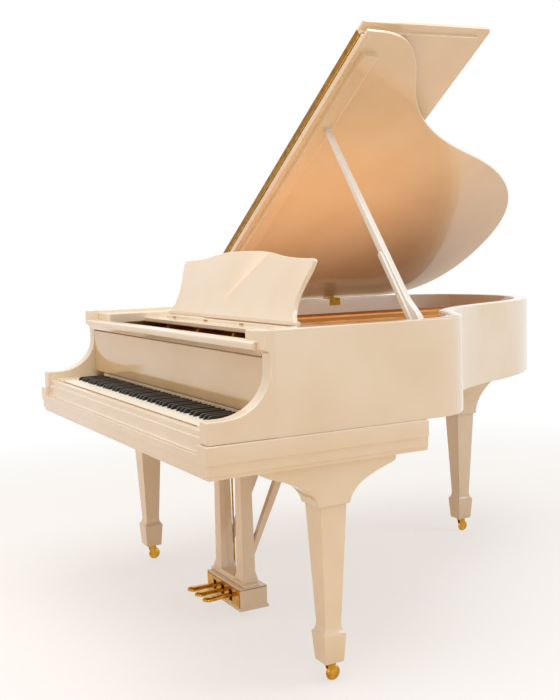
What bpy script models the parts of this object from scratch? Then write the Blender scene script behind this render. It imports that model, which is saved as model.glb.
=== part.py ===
"""A 1.85 m grand piano, standing open on its long prop, as an assembly of separate pieces.

Everything is in metres. X runs towards the player's right (the treble side), Y from the
player towards the tail, Z up. Sizes are set in the case's own frame, which has X = 0 on the
centre line, Y = 0 on the front faces of the arms and Z = 0 on the floor. One empty carries
that frame, so that the world origin lies on the floor under the middle of the whole piano.
"""

from math import atan2, cos, hypot, pi, radians, sin, sqrt, tan

import bmesh
import bpy
from mathutils import Matrix, Vector

# Gap left between two pieces that touch
SEAT = 0.0003

# Case: overall plan. Its width follows from the keyboard, the blocks beside it and the rim
KEYBOARD_WIDTH = 1.225
KEY_BLOCK_WIDTH = 0.0885
RIM_WALL = 0.049
CASE_WIDTH = KEYBOARD_WIDTH + 2 * KEY_BLOCK_WIDTH + 2 * RIM_WALL
CASE_LENGTH = 1.848
RIM_TOP = 1.000
RIM_BOTTOM = 0.718

# Plan curve of the bentside and tail. Parts across are shares of half the case's width, from its
# centre line. Parts back, and the curves' pulls, are shares of the length behind the straight side
STRAIGHT_END_Y = 0.720
SHOULDER_ACROSS = 0.7467
SHOULDER_PART = 0.1933
SHOULDER_ANGLE = radians(151.0)
WAIST_ACROSS = 0.2827
WAIST_PART = 0.6028
WAIST_ANGLE = radians(111.0)
CREST_ACROSS = -0.44
SPINE_END_PART = 0.7092
CURVE_PULLS = (0.1064, 0.0887, 0.1773, 0.2128, 0.2482, 0.2482, 0.2305, 0.1950)

# Arms and cheeks at the front of the rim
ARM_TOP = 0.778
ARM_FLAT = 0.045
CHEEK_BACK_Y = 0.183
CHEEK_CURVE_TOP = 0.893
TOP_BLOCK_BOTTOM = 0.947
TOP_BLOCK_FRONT_Y = 0.168

# Inner rim and the ledges that carry the music shelf
INNER_WALL = 0.045
LEDGE_END_Y = 0.560
LEDGE_TOP = 0.9567

# Base moulding: three bands, each proud of the case by its own amount
MOULDING_BOTTOM = 0.630
MOULDING_END_Y = 0.675
MOULDING_DEPTH = 0.045
BAND_PROUD = (0.011, 0.007, 0.003)
BAND_HEIGHT = (0.048, 0.028)
SLIP_SEAT_DROP = 0.0265

# Keybed and keys
KEYBED_TOP = 0.690
NATURALS = 52
KEY_TOP = 0.752
KEY_THICK = 0.020
KEY_GAP = 0.001
KEY_FRONT_Y = 0.0315
KEY_FRONT_PLAY = 0.0018
NATURAL_HEAD = 0.050
SHARP_RISE = 0.012
SHARP_WIDTH = 0.0095
SHARP_BACK_Y = 0.178
SHARP_CHAMFER = 0.006
BALANCE_Y = 0.235
KEY_BACK_Y = 0.370
SHARP_STICK_BACK_Y = 0.410
RAIL_DEPTH = 0.030
KEY_SIDE_PLAY = 0.004
BALANCE_PLAY = 0.001
RAIL_OVERLAP = 0.0005

# Key slip profile heights
SLIP_TOP = 0.748
SLIP_PROUD = 0.004
SLIP_LEDGE = 0.007
SLIP_COVE_TOP = 0.717
SLIP_NOSE_TOP = 0.732
SLIP_FACE_Y = 0.006

# Fallboard and stretcher
FALL_FRONT_Y = 0.185
FALL_THICK = 0.018
FALL_GAP = 0.0035
FALL_CLEAR = 0.004
STRETCHER_HEIGHT = 0.038
STRETCHER_NOSE_Y = 0.158
STRETCHER_NOSE = 0.022
STRETCHER_SOFFIT = 0.9285
STRETCHER_BACK_Y = 0.2040

# Music shelf, desk and strut
SHELF_FRONT_Y = 0.340
SHELF_BACK_Y = 0.575
SHELF_THICK = 0.0155
SHELF_ARM_WIDTH = 0.135
SHELF_ARM_THICK = 0.034
DESK_Y = 0.414
DESK_THICK = 0.016
DESK_LIFT = 0.0175
DESK_LEAN = radians(21.0)
DESK_CREST = 0.231
DESK_EAR_TOP = 0.2006
DESK_EAR_HALF = 0.4795
DESK_WAIST_HALF = 0.4463
DESK_WAIST_HIGH = 0.068
DESK_FOOT_HALF = 0.492
DESK_RAIL_HALF = 0.495
DESK_ROUND = 0.0073
DESK_RAIL_HEIGHT = 0.009
DESK_RAIL_DEPTH = 0.026
DESK_HINGE_XS = (-0.420, -0.140, 0.140, 0.420)
DESK_HINGE_WIDTH = 0.030
DESK_EAR_WIDTH = 0.006
STRUT_PIVOT = 0.100
STRUT_OFFSET = 0.0115
STRUT_EXTRA = 0.0085
STRUT_WIDTH = 0.120
STRUT_THICK = 0.006

# Lid, flap and prop
LID_OVERHANG = 0.012
LID_THICK = 0.022
LID_EDGE = 0.012
LID_BORDER = 0.030
BATTEN_FRONT = 0.020
BATTEN_WIDTH = 0.052
BATTEN_THICK = 0.018
BATTEN_START = 0.100
BATTEN_END = 0.080
LID_ANGLE = radians(33.2)
HINGE_OUT = 0.004
HINGE_BARREL = 0.0032
HINGE_LENGTH = 0.052
HINGE_DROP = 0.030
HINGE_LEAF_THICK = 0.0015
HINGE_PARTS = (0.124, 0.483)
FOLD_Y = 0.660
FLAP_FRONT_Y = 0.160
FLAP_TILT = radians(3.3)
FLAP_CORNER = 0.012
FOLD_BARREL = 0.0022
FOLD_LEAF_THICK = 0.0015
FOLD_LEAF_INSET = 0.042
BUTTON_REACH = 0.060
BUTTON_INSET = 0.150
BUTTON_RADIUS = 0.009
PROP_INSET = 0.076
PROP_Y = 0.712
PROP_Z = 0.9615
PROP_REACH = 1.108
PROP_THICK = 0.020
PROP_FOOT_LEFT = 0.0205
PROP_FOOT_RIGHT = 0.0300
PROP_LOW_WIDTH = 0.030
PROP_TIP_WIDTH = 0.014
SHORT_PROP_WIDTH = 0.018
SHORT_PROP_THICK = 0.010
SHORT_PROP_LOW = 0.030
SHORT_PROP_HIGH = 0.290
PROP_FOOT_LENGTH = 0.040
PROP_FLARE_LENGTH = 0.105
PROP_PIN = 0.0035
BRACKET_WALL = 0.005
CUP_RADIUS = 0.010
CUP_THICK = 0.0025

# Sound body
BOARD_BOTTOM = 0.895
BOARD_THICK = 0.008
RIB_HEIGHT = 0.020
RIB_WIDTH = 0.024
RIB_COUNT = 8
RIB_FIRST = 0.040
RIB_LAST = 0.283
BELLY_Y = 0.625
BELLY_DEPTH = 0.045
BRACE_DEPTH = 0.085
BRACE_WIDTH = 0.055
BRACE_START_PARTS = (-0.6933, -0.24, 0.24)
BRACE_END_PARTS = (-0.6667, 0.0267)
PLATE_TOP = 0.936
PLATE_THICK = 0.013
PLATE_FRONT_Y = 0.360
PLATE_WEB_BACK_Y = 0.560
BAR_PARTS = (-0.5333, -0.1733, 0.2, 0.56)
PLATE_FLANGE = 0.085
PLATE_SKIRT = 0.016
PLATE_PLAY = 0.0015
STRUT_BAR_WIDTH = 0.022
STRUT_BAR_TOP = 0.948
PINBLOCK_THICK = 0.038
BRIDGE_WIDTH = 0.032
BRIDGE_HEIGHT = 0.0342
HAMMER_RAIL_Y = 0.470
HAMMER_RAIL_Z = 0.790
HAMMER_Y = 0.578
HAMMER_POST_PARTS = (-0.4571, -0.1551, 0.1551, 0.4571)
DAMPER_Y = 0.600
DAMPER_PITCH = 0.020
DAMPER_HEAD = 0.013
DAMPER_HEAD_HIGH = 0.010
DAMPER_HEAD_LIFT = 0.0045
DAMPER_END = 0.0525
DAMPER_RAIL_Z = 0.848

# Legs, capitals and casters
LEG_INSET = 0.064
LEG_Y = 0.375
TAIL_LEG_FROM_SPINE = 0.444
TAIL_LEG_BACK = 0.222
LEG_TOP = 0.510
LEG_HALF_TOP = 0.042
LEG_HALF_ANKLE = 0.0258
LEG_ANKLE = 0.160
FOOT_TOP = 0.141
FOOT_HALF_TOP = 0.0358
FOOT_BOTTOM = 0.060
FOOT_HALF_BOTTOM = 0.0300
CAPITAL_HALF = 0.050
CAPITAL_REACH = 0.205
CAPITAL_TIP = 0.018
TAIL_STEP = 0.010
TAIL_CAPITAL_BASE = 0.690
WHEEL_RADIUS = 0.0225
WHEEL_WIDTH = 0.014
WHEEL_TRAIL = 0.010
FORK_WALL = 0.004
FORK_PLAY = 0.001
AXLE_RADIUS = 0.0032

# Pedal lyre
POST_SPREAD = 0.0825
POST_Y = 0.416
POST_HALF_TOP = 0.0235
POST_HALF_LOW = 0.0190
POST_FOOT_HALF = 0.0290
LYRE_TOP_HALF = 0.130
LYRE_TOP_THICK = 0.032
LYRE_TOP_FRONT_Y = 0.385
LYRE_TOP_BACK_Y = 0.4395
BOX_HALF = 0.130
BOX_FRONT_Y = 0.370
BOX_BACK_Y = 0.468
BOX_BOTTOM = 0.030
BOX_TOP = 0.105
BOX_WALL = 0.014
BOX_PLINTH = 0.008
PEDAL_PLATE_THICK = 0.003
PEDAL_PLATE_HALF = 0.124
PEDAL_PLATE_LOW = 0.040
PEDAL_PLATE_TOP = 0.098
PEDAL_SPREAD = 0.062
PEDAL_Z = 0.070
PEDAL_THICK = 0.011
PEDAL_AXIS_Y = 0.405
PEDAL_PIN = 0.003
PEDAL_TOE_Y = 0.266
PEDAL_BACK_Y = 0.451
PEDAL_TOE_WIDTH = 0.032
PEDAL_NECK_WIDTH = 0.017
PEDAL_SLOT_HALF = 0.012
ROD_RADIUS = 0.003
ROD_CLEAR = 0.0008
ROD_Y = 0.4440
ROD_TOP = 0.682
BRACE_FOOT_Z = 0.190
BRACE_HEAD_Y = 0.640
LYRE_BRACE_THICK = 0.024

# Values that follow from the sizes above
HALF = CASE_WIDTH / 2
SOUND_LENGTH = CASE_LENGTH - STRAIGHT_END_Y
SHOULDER_Y = STRAIGHT_END_Y + SHOULDER_PART * SOUND_LENGTH
WAIST_Y = STRAIGHT_END_Y + WAIST_PART * SOUND_LENGTH
SPINE_END_Y = STRAIGHT_END_Y + SPINE_END_PART * SOUND_LENGTH
HINGE_YS = tuple(STRAIGHT_END_Y + part * SOUND_LENGTH for part in HINGE_PARTS)
PROP_X = HALF - PROP_INSET
BAR_XS = tuple(part * HALF for part in BAR_PARTS)
HAMMER_POST_XS = tuple(part * KEYBOARD_WIDTH for part in HAMMER_POST_PARTS)
DAMPER_REACH = KEYBOARD_WIDTH / 2 - DAMPER_END
TAIL_LEG_X = -HALF + TAIL_LEG_FROM_SPINE
FALL_TOP = STRETCHER_SOFFIT - FALL_GAP
STRETCHER_TOP = STRETCHER_SOFFIT + STRETCHER_HEIGHT
INNER_FACE = HALF - RIM_WALL
LINER_FACE = INNER_FACE - SEAT - INNER_WALL
KEY_PITCH = KEYBOARD_WIDTH / NATURALS
KEY_START_X = -KEYBOARD_WIDTH / 2
SHARP_TOP = KEY_TOP + SHARP_RISE
FALL_AXIS_Y = FALL_FRONT_Y + FALL_THICK / 2
FALL_AXIS_Z = SHARP_TOP + FALL_CLEAR + FALL_THICK / 2
SHELF_BOTTOM = LEDGE_TOP + SEAT
SHELF_TOP = SHELF_BOTTOM + SHELF_THICK
DESK_AXIS_Z = SHELF_TOP + DESK_LIFT
HINGE_X = -HALF - HINGE_OUT
HINGE_Z = RIM_TOP + HINGE_BARREL + SEAT
MOULDING_TOP = RIM_BOTTOM - SEAT
TAIL_LEG_Y = CASE_LENGTH - TAIL_LEG_BACK
LEG_X = HALF - LEG_INSET
BOARD_TOP = BOARD_BOTTOM + BOARD_THICK
INNER_START_Y = STRETCHER_BACK_Y + SEAT


class Frame:
    """An empty that carries a body. On an unturned frame, pieces are drawn in its parent's axes."""

    def __init__(self, name, at, parent=None, turn=(0, 0, 0)):
        self.empty = bpy.data.objects.new(name, None)
        self.empty.empty_display_size = 0.05
        self.empty.location = at
        self.empty.rotation_euler = turn
        self.shift = Vector((0, 0, 0))
        collection.objects.link(self.empty)
        if parent is not None:
            self.empty.parent = parent.empty
            if not any(turn):
                self.shift = parent.shift - Vector(at)


def clear_scene():
    """Remove every object that the file starts with."""
    for item in list(bpy.data.objects):
        bpy.data.objects.remove(item, do_unlink=True)


def new_collection(name):
    """Make a collection under the scene's own."""
    made = bpy.data.collections.new(name)
    bpy.context.scene.collection.children.link(made)
    return made


def finish(name, color, roughness, metallic=0.0):
    """A Principled material with one colour."""
    material = bpy.data.materials.new(name)
    material.use_nodes = True
    shader = material.node_tree.nodes["Principled BSDF"]
    shader.inputs["Base Color"].default_value = (*color, 1.0)
    shader.inputs["Roughness"].default_value = roughness
    shader.inputs["Metallic"].default_value = metallic
    return material


def weld(mesh):
    """Join the loose caps of a mesh to its walls."""
    bm = bmesh.new()
    bm.from_mesh(mesh)
    bmesh.ops.remove_doubles(bm, verts=bm.verts, dist=1e-6)
    bmesh.ops.recalc_face_normals(bm, faces=bm.faces)
    bm.to_mesh(mesh)
    bm.free()


def outline_mesh(name, loops, low, high):
    """A flat outline, with holes as further loops, drawn out from low to high along its own Z."""
    curve = bpy.data.curves.new(name, "CURVE")
    curve.dimensions = "2D"
    curve.fill_mode = "BOTH"
    curve.extrude = (high - low) / 2
    for loop in loops:
        spline = curve.splines.new("POLY")
        spline.points.add(len(loop) - 1)
        spline.use_cyclic_u = True
        for point, (x, y) in zip(spline.points, loop):
            point.co = (x, y, 0.0, 1.0)
    drawn = bpy.data.objects.new(name + "_outline", curve)
    bpy.context.scene.collection.objects.link(drawn)
    graph = bpy.context.evaluated_depsgraph_get()
    mesh = bpy.data.meshes.new_from_object(drawn.evaluated_get(graph))
    bpy.data.objects.remove(drawn, do_unlink=True)
    bpy.data.curves.remove(curve)
    mesh.name = name
    mesh.transform(Matrix.Translation((0, 0, (low + high) / 2)))
    weld(mesh)
    return mesh


def side_mesh(name, loop, low, high):
    """An outline of (y, z) points, drawn out along X."""
    mesh = outline_mesh(name, [loop], low, high)
    mesh.transform(Matrix(((0, 0, 1, 0), (1, 0, 0, 0), (0, 1, 0, 0), (0, 0, 0, 1))))
    return mesh


def front_mesh(name, loop, low, high):
    """An outline of (x, z) points, drawn out along Y."""
    mesh = outline_mesh(name, [loop], -high, -low)
    mesh.transform(Matrix(((1, 0, 0, 0), (0, 0, -1, 0), (0, 1, 0, 0), (0, 0, 0, 1))))
    return mesh


def box_mesh(name, low, high):
    """A box from its lowest to its highest corner."""
    low = Vector(low)
    high = Vector(high)
    bm = bmesh.new()
    bmesh.ops.create_cube(bm, size=1.0)
    bmesh.ops.scale(bm, vec=high - low, verts=bm.verts)
    bmesh.ops.translate(bm, vec=(low + high) / 2, verts=bm.verts)
    mesh = bpy.data.meshes.new(name)
    bm.to_mesh(mesh)
    bm.free()
    return mesh


def rod_mesh(name, radius, start, end, sides=12):
    """A round rod between two points."""
    start = Vector(start)
    end = Vector(end)
    axis = end - start
    bm = bmesh.new()
    bmesh.ops.create_cone(bm, cap_ends=True, segments=sides, radius1=radius, radius2=radius,
                          depth=axis.length)
    turn = Vector((0, 0, 1)).rotation_difference(axis).to_matrix().to_4x4()
    bmesh.ops.transform(bm, matrix=Matrix.Translation((start + end) / 2) @ turn, verts=bm.verts)
    mesh = bpy.data.meshes.new(name)
    bm.to_mesh(mesh)
    bm.free()
    return mesh


def joined_mesh(name, meshes):
    """Several closed meshes as the loose parts of one mesh, to cut or add in one go."""
    bm = bmesh.new()
    for mesh in meshes:
        bm.from_mesh(mesh)
    whole = bpy.data.meshes.new(name)
    bm.to_mesh(whole)
    bm.free()
    for mesh in meshes:
        bpy.data.meshes.remove(mesh)
    return whole


def put(name, mesh, material, frame, place=(0, 0, 0)):
    """Add a piece to a body, with its mesh drawn round `place`."""
    mesh.name = name
    piece = bpy.data.objects.new(name, mesh)
    collection.objects.link(piece)
    piece.parent = frame.empty
    piece.location = frame.shift + Vector(place)
    mesh.materials.clear()
    mesh.materials.append(material)
    mesh.shade_smooth()
    mesh.set_sharp_from_angle(angle=radians(35))
    return piece


def soften(piece, width, segments=1):
    """Round the sharp edges of a piece a little."""
    modifier = piece.modifiers.new("soften", "BEVEL")
    modifier.width = width
    modifier.segments = segments
    modifier.limit_method = "ANGLE"
    modifier.angle_limit = radians(50)
    modifier.use_clamp_overlap = True


def change(piece, mesh, operation):
    """Cut a closed mesh out of a piece, or add it, with a Boolean modifier."""
    tool = bpy.data.objects.new(f"{piece.name}_{operation.lower()}_{len(piece.modifiers)}", mesh)
    tools.objects.link(tool)
    tool.parent = piece
    tool.hide_render = True
    tool.display_type = "WIRE"
    modifier = piece.modifiers.new(operation.lower(), "BOOLEAN")
    modifier.operation = operation
    modifier.solver = "EXACT"
    modifier.object = tool
    return tool


def bezier(start, start_pull, end_pull, end, steps):
    """Points of a cubic curve after its start, up to its end."""
    points = []
    for step in range(1, steps + 1):
        t = step / steps
        weights = ((1 - t) ** 3, 3 * t * (1 - t) ** 2, 3 * t * t * (1 - t), t ** 3)
        corners = (start, start_pull, end_pull, end)
        points.append(tuple(sum(w * c[axis] for w, c in zip(weights, corners)) for axis in (0, 1)))
    return points


def offset_path(path, distance):
    """Move an open path to its left by a distance."""
    moved = []
    for index, (x, y) in enumerate(path):
        before = path[max(index - 1, 0)]
        after = path[min(index + 1, len(path) - 1)]
        run = (after[0] - before[0], after[1] - before[1])
        length = hypot(*run)
        moved.append((x - distance * run[1] / length, y + distance * run[0] / length))
    return moved


def away(point, angle, distance):
    """The point at a distance in a direction."""
    return (point[0] + distance * cos(angle), point[1] + distance * sin(angle))


def case_path(inset, start_y, end_y):
    """The case's plan from the treble side round the tail to the spine, moved in by an inset."""
    begin = (HALF, STRAIGHT_END_Y)
    shoulder = (HALF * SHOULDER_ACROSS, SHOULDER_Y)
    waist = (HALF * WAIST_ACROSS, WAIST_Y)
    crest = (HALF * CREST_ACROSS, CASE_LENGTH)
    pulls = [part * SOUND_LENGTH for part in CURVE_PULLS]
    spine = (-HALF, SPINE_END_Y)
    path = [(HALF, STRAIGHT_END_Y - 0.02), begin]
    path += bezier(begin, away(begin, pi / 2, pulls[0]),
                   away(shoulder, SHOULDER_ANGLE, -pulls[1]), shoulder, 8)
    path += bezier(shoulder, away(shoulder, SHOULDER_ANGLE, pulls[2]),
                   away(waist, WAIST_ANGLE, -pulls[3]), waist, 9)
    path += bezier(waist, away(waist, WAIST_ANGLE, pulls[4]), away(crest, 0.0, pulls[5]),
                   crest, 10)
    path += bezier(crest, away(crest, pi, pulls[6]), away(spine, pi / 2, pulls[7]), spine, 9)
    path.append((-HALF, SPINE_END_Y - 0.02))
    moved = offset_path(path, inset)
    return [(HALF - inset, start_y)] + moved[1:-1] + [(-HALF + inset, end_y)]


def ring_loop(outer_inset, inner_inset, start_y):
    """A band that follows the case's plan, open towards the player."""
    outer = case_path(outer_inset, start_y, start_y)
    inner = case_path(inner_inset, start_y, start_y)
    return outer + inner[::-1]


def box_pair(name, x_low, x_high, y_low, y_high, z_low, z_high):
    """Two boxes, mirrored over the centre line, as one mesh."""
    treble = box_mesh(name, (x_low, y_low, z_low), (x_high, y_high, z_high))
    bass = box_mesh(name, (-x_high, y_low, z_low), (-x_low, y_high, z_high))
    return joined_mesh(name, [treble, bass])


def square_turned(name, profile):
    """A four-sided turned shape: pairs of half width and height, from the top down."""
    bm = bmesh.new()
    rings = [(0.0, profile[0][1])] + list(profile) + [(0.0, profile[-1][1])]
    points = [bm.verts.new((half * sqrt(2), 0, z)) for half, z in rings]
    for first, second in zip(points, points[1:]):
        bm.edges.new((first, second))
    bmesh.ops.rotate(bm, verts=bm.verts, cent=(0, 0, 0), matrix=Matrix.Rotation(pi / 4, 3, "Z"))
    mesh = bpy.data.meshes.new(name)
    bm.to_mesh(mesh)
    bm.free()
    return mesh


def screw(piece, steps):
    """Turn a profile round its Z axis into a closed solid."""
    modifier = piece.modifiers.new("turn", "SCREW")
    modifier.steps = steps
    modifier.render_steps = steps
    modifier.use_merge_vertices = True
    modifier.merge_threshold = 0.00001


def rim_pieces():
    """The bent case wall, its inner rim and the bracing under the sound body."""
    rim = put("outer_rim", outline_mesh("rim", [ring_loop(0, RIM_WALL, 0)], RIM_BOTTOM, RIM_TOP),
              ivory, case)
    arch = [(CHEEK_BACK_Y - (CHEEK_BACK_Y - ARM_FLAT) * (1 - cos(step * pi / 16)),
             CHEEK_CURVE_TOP - (CHEEK_CURVE_TOP - ARM_TOP) * sin(step * pi / 16))
            for step in range(9)]
    above = RIM_TOP + 0.02
    cheek = [(-0.02, above), (TOP_BLOCK_FRONT_Y + 0.005, above),
             (TOP_BLOCK_FRONT_Y, TOP_BLOCK_BOTTOM), (CHEEK_BACK_Y - 0.005, TOP_BLOCK_BOTTOM - 0.004),
             (CHEEK_BACK_Y, TOP_BLOCK_BOTTOM - 0.012)] + arch + [(-0.02, ARM_TOP)]
    change(rim, side_mesh("cheek", cheek, -HALF - 0.05, HALF + 0.05), "DIFFERENCE")

    start = RIM_WALL + SEAT
    inner = put("inner_rim", outline_mesh("inner", [ring_loop(start, start + INNER_WALL,
                INNER_START_Y)], RIM_BOTTOM, BOARD_BOTTOM - SEAT), maple, case)
    change(inner, box_pair("ledges", LINER_FACE, HALF - start, INNER_START_Y, LEDGE_END_Y,
                           BOARD_BOTTOM - 0.02, LEDGE_TOP), "UNION")

    belly = [box_mesh("belly", (-LINER_FACE + SEAT, BELLY_Y, RIM_BOTTOM),
                      (LINER_FACE - SEAT, BELLY_Y + BELLY_DEPTH, BOARD_BOTTOM - SEAT))]
    braces = put("wood_braces", belly[0], spruce, case)
    low = RIM_BOTTOM + 0.008
    hub = (TAIL_LEG_X, TAIL_LEG_Y)
    starts = tuple(part * HALF for part in BRACE_START_PARTS)
    ends = ((BRACE_END_PARTS[0] * HALF, TAIL_LEG_Y - 0.02), hub,
            (BRACE_END_PARTS[1] * HALF, WAIST_Y + 0.02))
    for start_x, (end_x, end_y) in zip(starts, ends):
        run = Vector((end_x - start_x, end_y - BELLY_Y - 0.02, 0)).normalized()
        side = Vector((-run.y, run.x, 0)) * BRACE_WIDTH / 2
        first = Vector((start_x, BELLY_Y + 0.02, 0))
        last = Vector((end_x, end_y, 0))
        corners = (first - side, last - side, last + side, first + side)
        loop = [(corner.x, corner.y) for corner in corners]
        change(braces, outline_mesh("brace", [loop], low, low + BRACE_DEPTH), "UNION")
    change(braces, box_mesh("tail_block", (TAIL_LEG_X - 0.20, TAIL_LEG_Y - 0.09, RIM_BOTTOM),
                            (TAIL_LEG_X + 0.16, TAIL_LEG_Y + 0.03, low + BRACE_DEPTH)), "UNION")
    return rim


def moulding_pieces():
    """The stepped base moulding round the keybed, and the keybed it carries."""
    middle = MOULDING_TOP - BAND_HEIGHT[0]
    lower = middle - BAND_HEIGHT[1]
    first, second, third = BAND_PROUD
    profile = [(-MOULDING_DEPTH, MOULDING_TOP), (first - 0.0015, MOULDING_TOP),
               (first, MOULDING_TOP - 0.0015), (first, middle + 0.001), (first - 0.001, middle),
               (second, middle), (second, lower + 0.001), (second - 0.001, lower),
               (third, lower), (third, MOULDING_BOTTOM + 0.001),
               (third - 0.001, MOULDING_BOTTOM), (-MOULDING_DEPTH, MOULDING_BOTTOM)]
    bm = bmesh.new()
    rows = []
    for proud, z in profile:
        corners = ((HALF + proud, MOULDING_END_Y), (HALF + proud, -proud),
                   (-HALF - proud, -proud), (-HALF - proud, MOULDING_END_Y))
        rows.append([bm.verts.new((x, y, z)) for x, y in corners])
    for row, after in zip(rows, rows[1:] + rows[:1]):
        for index in range(3):
            bm.faces.new((row[index], after[index], after[index + 1], row[index + 1]))
    bm.faces.new([row[0] for row in rows])
    bm.faces.new([row[3] for row in reversed(rows)])
    bmesh.ops.recalc_face_normals(bm, faces=bm.faces)
    mesh = bpy.data.meshes.new("moulding")
    bm.to_mesh(mesh)
    bm.free()
    moulding = put("base_moulding", mesh, ivory, case)
    change(moulding, box_mesh("slip_seat", (-INNER_FACE, -0.05, MOULDING_TOP - SLIP_SEAT_DROP),
                              (INNER_FACE, MOULDING_DEPTH + 0.05, RIM_TOP)), "DIFFERENCE")

    side = HALF - MOULDING_DEPTH - SEAT
    keybed = put("keybed", box_mesh("keybed", (-side, MOULDING_DEPTH + SEAT, KEYBED_TOP - 0.050),
                                    (side, MOULDING_END_Y, KEYBED_TOP)), maple, case)
    holes = [rod_mesh("hole", ROD_RADIUS + ROD_CLEAR, (x, ROD_Y, KEYBED_TOP - 0.08),
                      (x, ROD_Y, KEYBED_TOP + 0.02)) for x in pedal_xs()]
    change(keybed, joined_mesh("holes", holes), "DIFFERENCE")


def pedal_xs():
    """Where the three pedals stand, from left to right."""
    return (-PEDAL_SPREAD, 0.0, PEDAL_SPREAD)


def front_pieces():
    """The key slip, the key blocks and the stretcher between the arms."""
    side = INNER_FACE - SEAT
    seat = MOULDING_TOP - SLIP_SEAT_DROP + SEAT
    back = KEY_FRONT_Y - KEY_FRONT_PLAY
    slip = [(back, seat), (-0.003, seat), (-SLIP_PROUD, seat + 0.002),
            (-SLIP_PROUD, seat + SLIP_LEDGE - 0.002), (-0.003, seat + SLIP_LEDGE),
            (0.004, seat + SLIP_LEDGE + 0.001), (0.009, 0.708), (0.006, SLIP_COVE_TOP),
            (-0.002, SLIP_COVE_TOP + 0.001), (-SLIP_PROUD, SLIP_COVE_TOP + 0.004),
            (-SLIP_PROUD, SLIP_NOSE_TOP - 0.005), (-0.002, SLIP_NOSE_TOP - 0.001),
            (0.003, SLIP_NOSE_TOP), (SLIP_FACE_Y, SLIP_NOSE_TOP + 0.001),
            (SLIP_FACE_Y, SLIP_TOP - 0.002), (SLIP_FACE_Y + 0.002, SLIP_TOP), (back, SLIP_TOP)]
    put("key_slip", side_mesh("slip", slip, -side, side), ivory, case)

    reach = KEYBOARD_WIDTH / 2 + KEY_SIDE_PLAY
    block_front = back + SEAT
    block_back = FALL_FRONT_Y - SEAT
    block_top = KEY_TOP + 0.001
    for name, low, high in (("key_block_bass", -side, -reach), ("key_block_treble", reach, side)):
        block = put(name, box_mesh(name, (low, block_front, seat),
                                   (high, block_back, block_top)), ivory, case)
        soften(block, 0.002, 2)

    nose = STRETCHER_NOSE_Y
    top = STRETCHER_TOP
    drop = STRETCHER_NOSE
    profile = [(STRETCHER_BACK_Y, top), (nose + 0.010, top), (nose + 0.004, top - 0.002),
               (nose + 0.001, top - 0.006), (nose, top - drop / 2), (nose + 0.001, top - drop + 0.006),
               (nose + 0.004, top - drop + 0.002), (nose + 0.010, top - drop),
               (nose + 0.012, top - drop - 0.002), (nose + 0.012, STRETCHER_SOFFIT + 0.001),
               (nose + 0.013, STRETCHER_SOFFIT), (STRETCHER_BACK_Y, STRETCHER_SOFFIT)]
    put("stretcher", side_mesh("stretcher", profile, -side, side), ivory, case)


def fallboard_piece():
    """The fallboard, which turns forward over the keys about its rounded lower edge."""
    body = Frame("fallboard_body", (0, FALL_AXIS_Y, FALL_AXIS_Z), case)
    side = INNER_FACE - SEAT
    half = FALL_THICK / 2
    foot = [(FALL_AXIS_Y - half * cos(step * pi / 8), FALL_AXIS_Z - half * sin(step * pi / 8))
            for step in range(9)]
    top = [(FALL_AXIS_Y + half, FALL_TOP - 0.004), (FALL_AXIS_Y + half - 0.004, FALL_TOP),
           (FALL_AXIS_Y - half + 0.003, FALL_TOP), (FALL_AXIS_Y - half, FALL_TOP - 0.003)]
    put("fallboard", side_mesh("fallboard", foot + top, -side, side), ivory, body)


def key_layout():
    """Each key's plan: its name, its kind, and the left and right edges of head and stick."""
    keys = []
    letters = "ABCDEFG"
    octave = 0
    for index in range(NATURALS):
        letter = letters[index % 7]
        if letter == "C":
            octave += 1
        left = KEY_START_X + index * KEY_PITCH
        right = left + KEY_PITCH
        group_start = "C" if letter in "CDE" else "F"
        count = 5 if letter in "CDE" else 7
        span = (3 if count == 5 else 4) * KEY_PITCH
        order = "CDE".find(letter) if count == 5 else "FGAB".find(letter)
        group_left = left - order * KEY_PITCH
        slot = span / count
        stick_left = group_left + 2 * order * slot
        stick_right = stick_left + slot
        keys.append(("natural", f"{letter}{octave}", left, right, stick_left, stick_right))
        if letter not in "EB" and index < NATURALS - 1:
            keys.append(("sharp", f"{letter}s{octave}", stick_right, stick_right + slot,
                         stick_right, stick_right + slot))
    first = keys[0]
    keys[0] = (first[0], first[1], first[2], first[3], first[2], first[5])
    last = keys[-1]
    keys[-1] = (last[0], last[1], last[2], last[3], last[2], last[3])
    return keys


def natural_mesh(name, key, low):
    """One natural key: a full head, then a narrower stick between the sharps."""
    gap = KEY_GAP / 2
    left, right, stick_left, stick_right = key
    shoulder = KEY_FRONT_Y + NATURAL_HEAD
    loop = [(left + gap, KEY_FRONT_Y), (right - gap, KEY_FRONT_Y)]
    if right - stick_right > 0.001:
        loop += [(right - gap, shoulder), (stick_right - gap, shoulder)]
    loop += [(stick_right - gap, KEY_BACK_Y), (stick_left + gap, KEY_BACK_Y)]
    if stick_left - left > 0.001:
        loop += [(stick_left + gap, shoulder), (left + gap, shoulder)]
    return outline_mesh(name, [loop], low, KEY_TOP)


def sharp_mesh(name, key, low, back):
    """One sharp key: a raised front with a sloping end, on a stick."""
    centre = (key[2] + key[3]) / 2
    start = KEY_FRONT_Y + NATURAL_HEAD + KEY_GAP
    loop = [(start, low), (start + 0.001, KEY_TOP), (start + SHARP_CHAMFER, SHARP_TOP),
            (SHARP_BACK_Y, SHARP_TOP), (SHARP_BACK_Y, KEY_TOP), (back, KEY_TOP), (back, low)]
    return side_mesh(name, loop[::-1], centre - SHARP_WIDTH / 2, centre + SHARP_WIDTH / 2)


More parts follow.
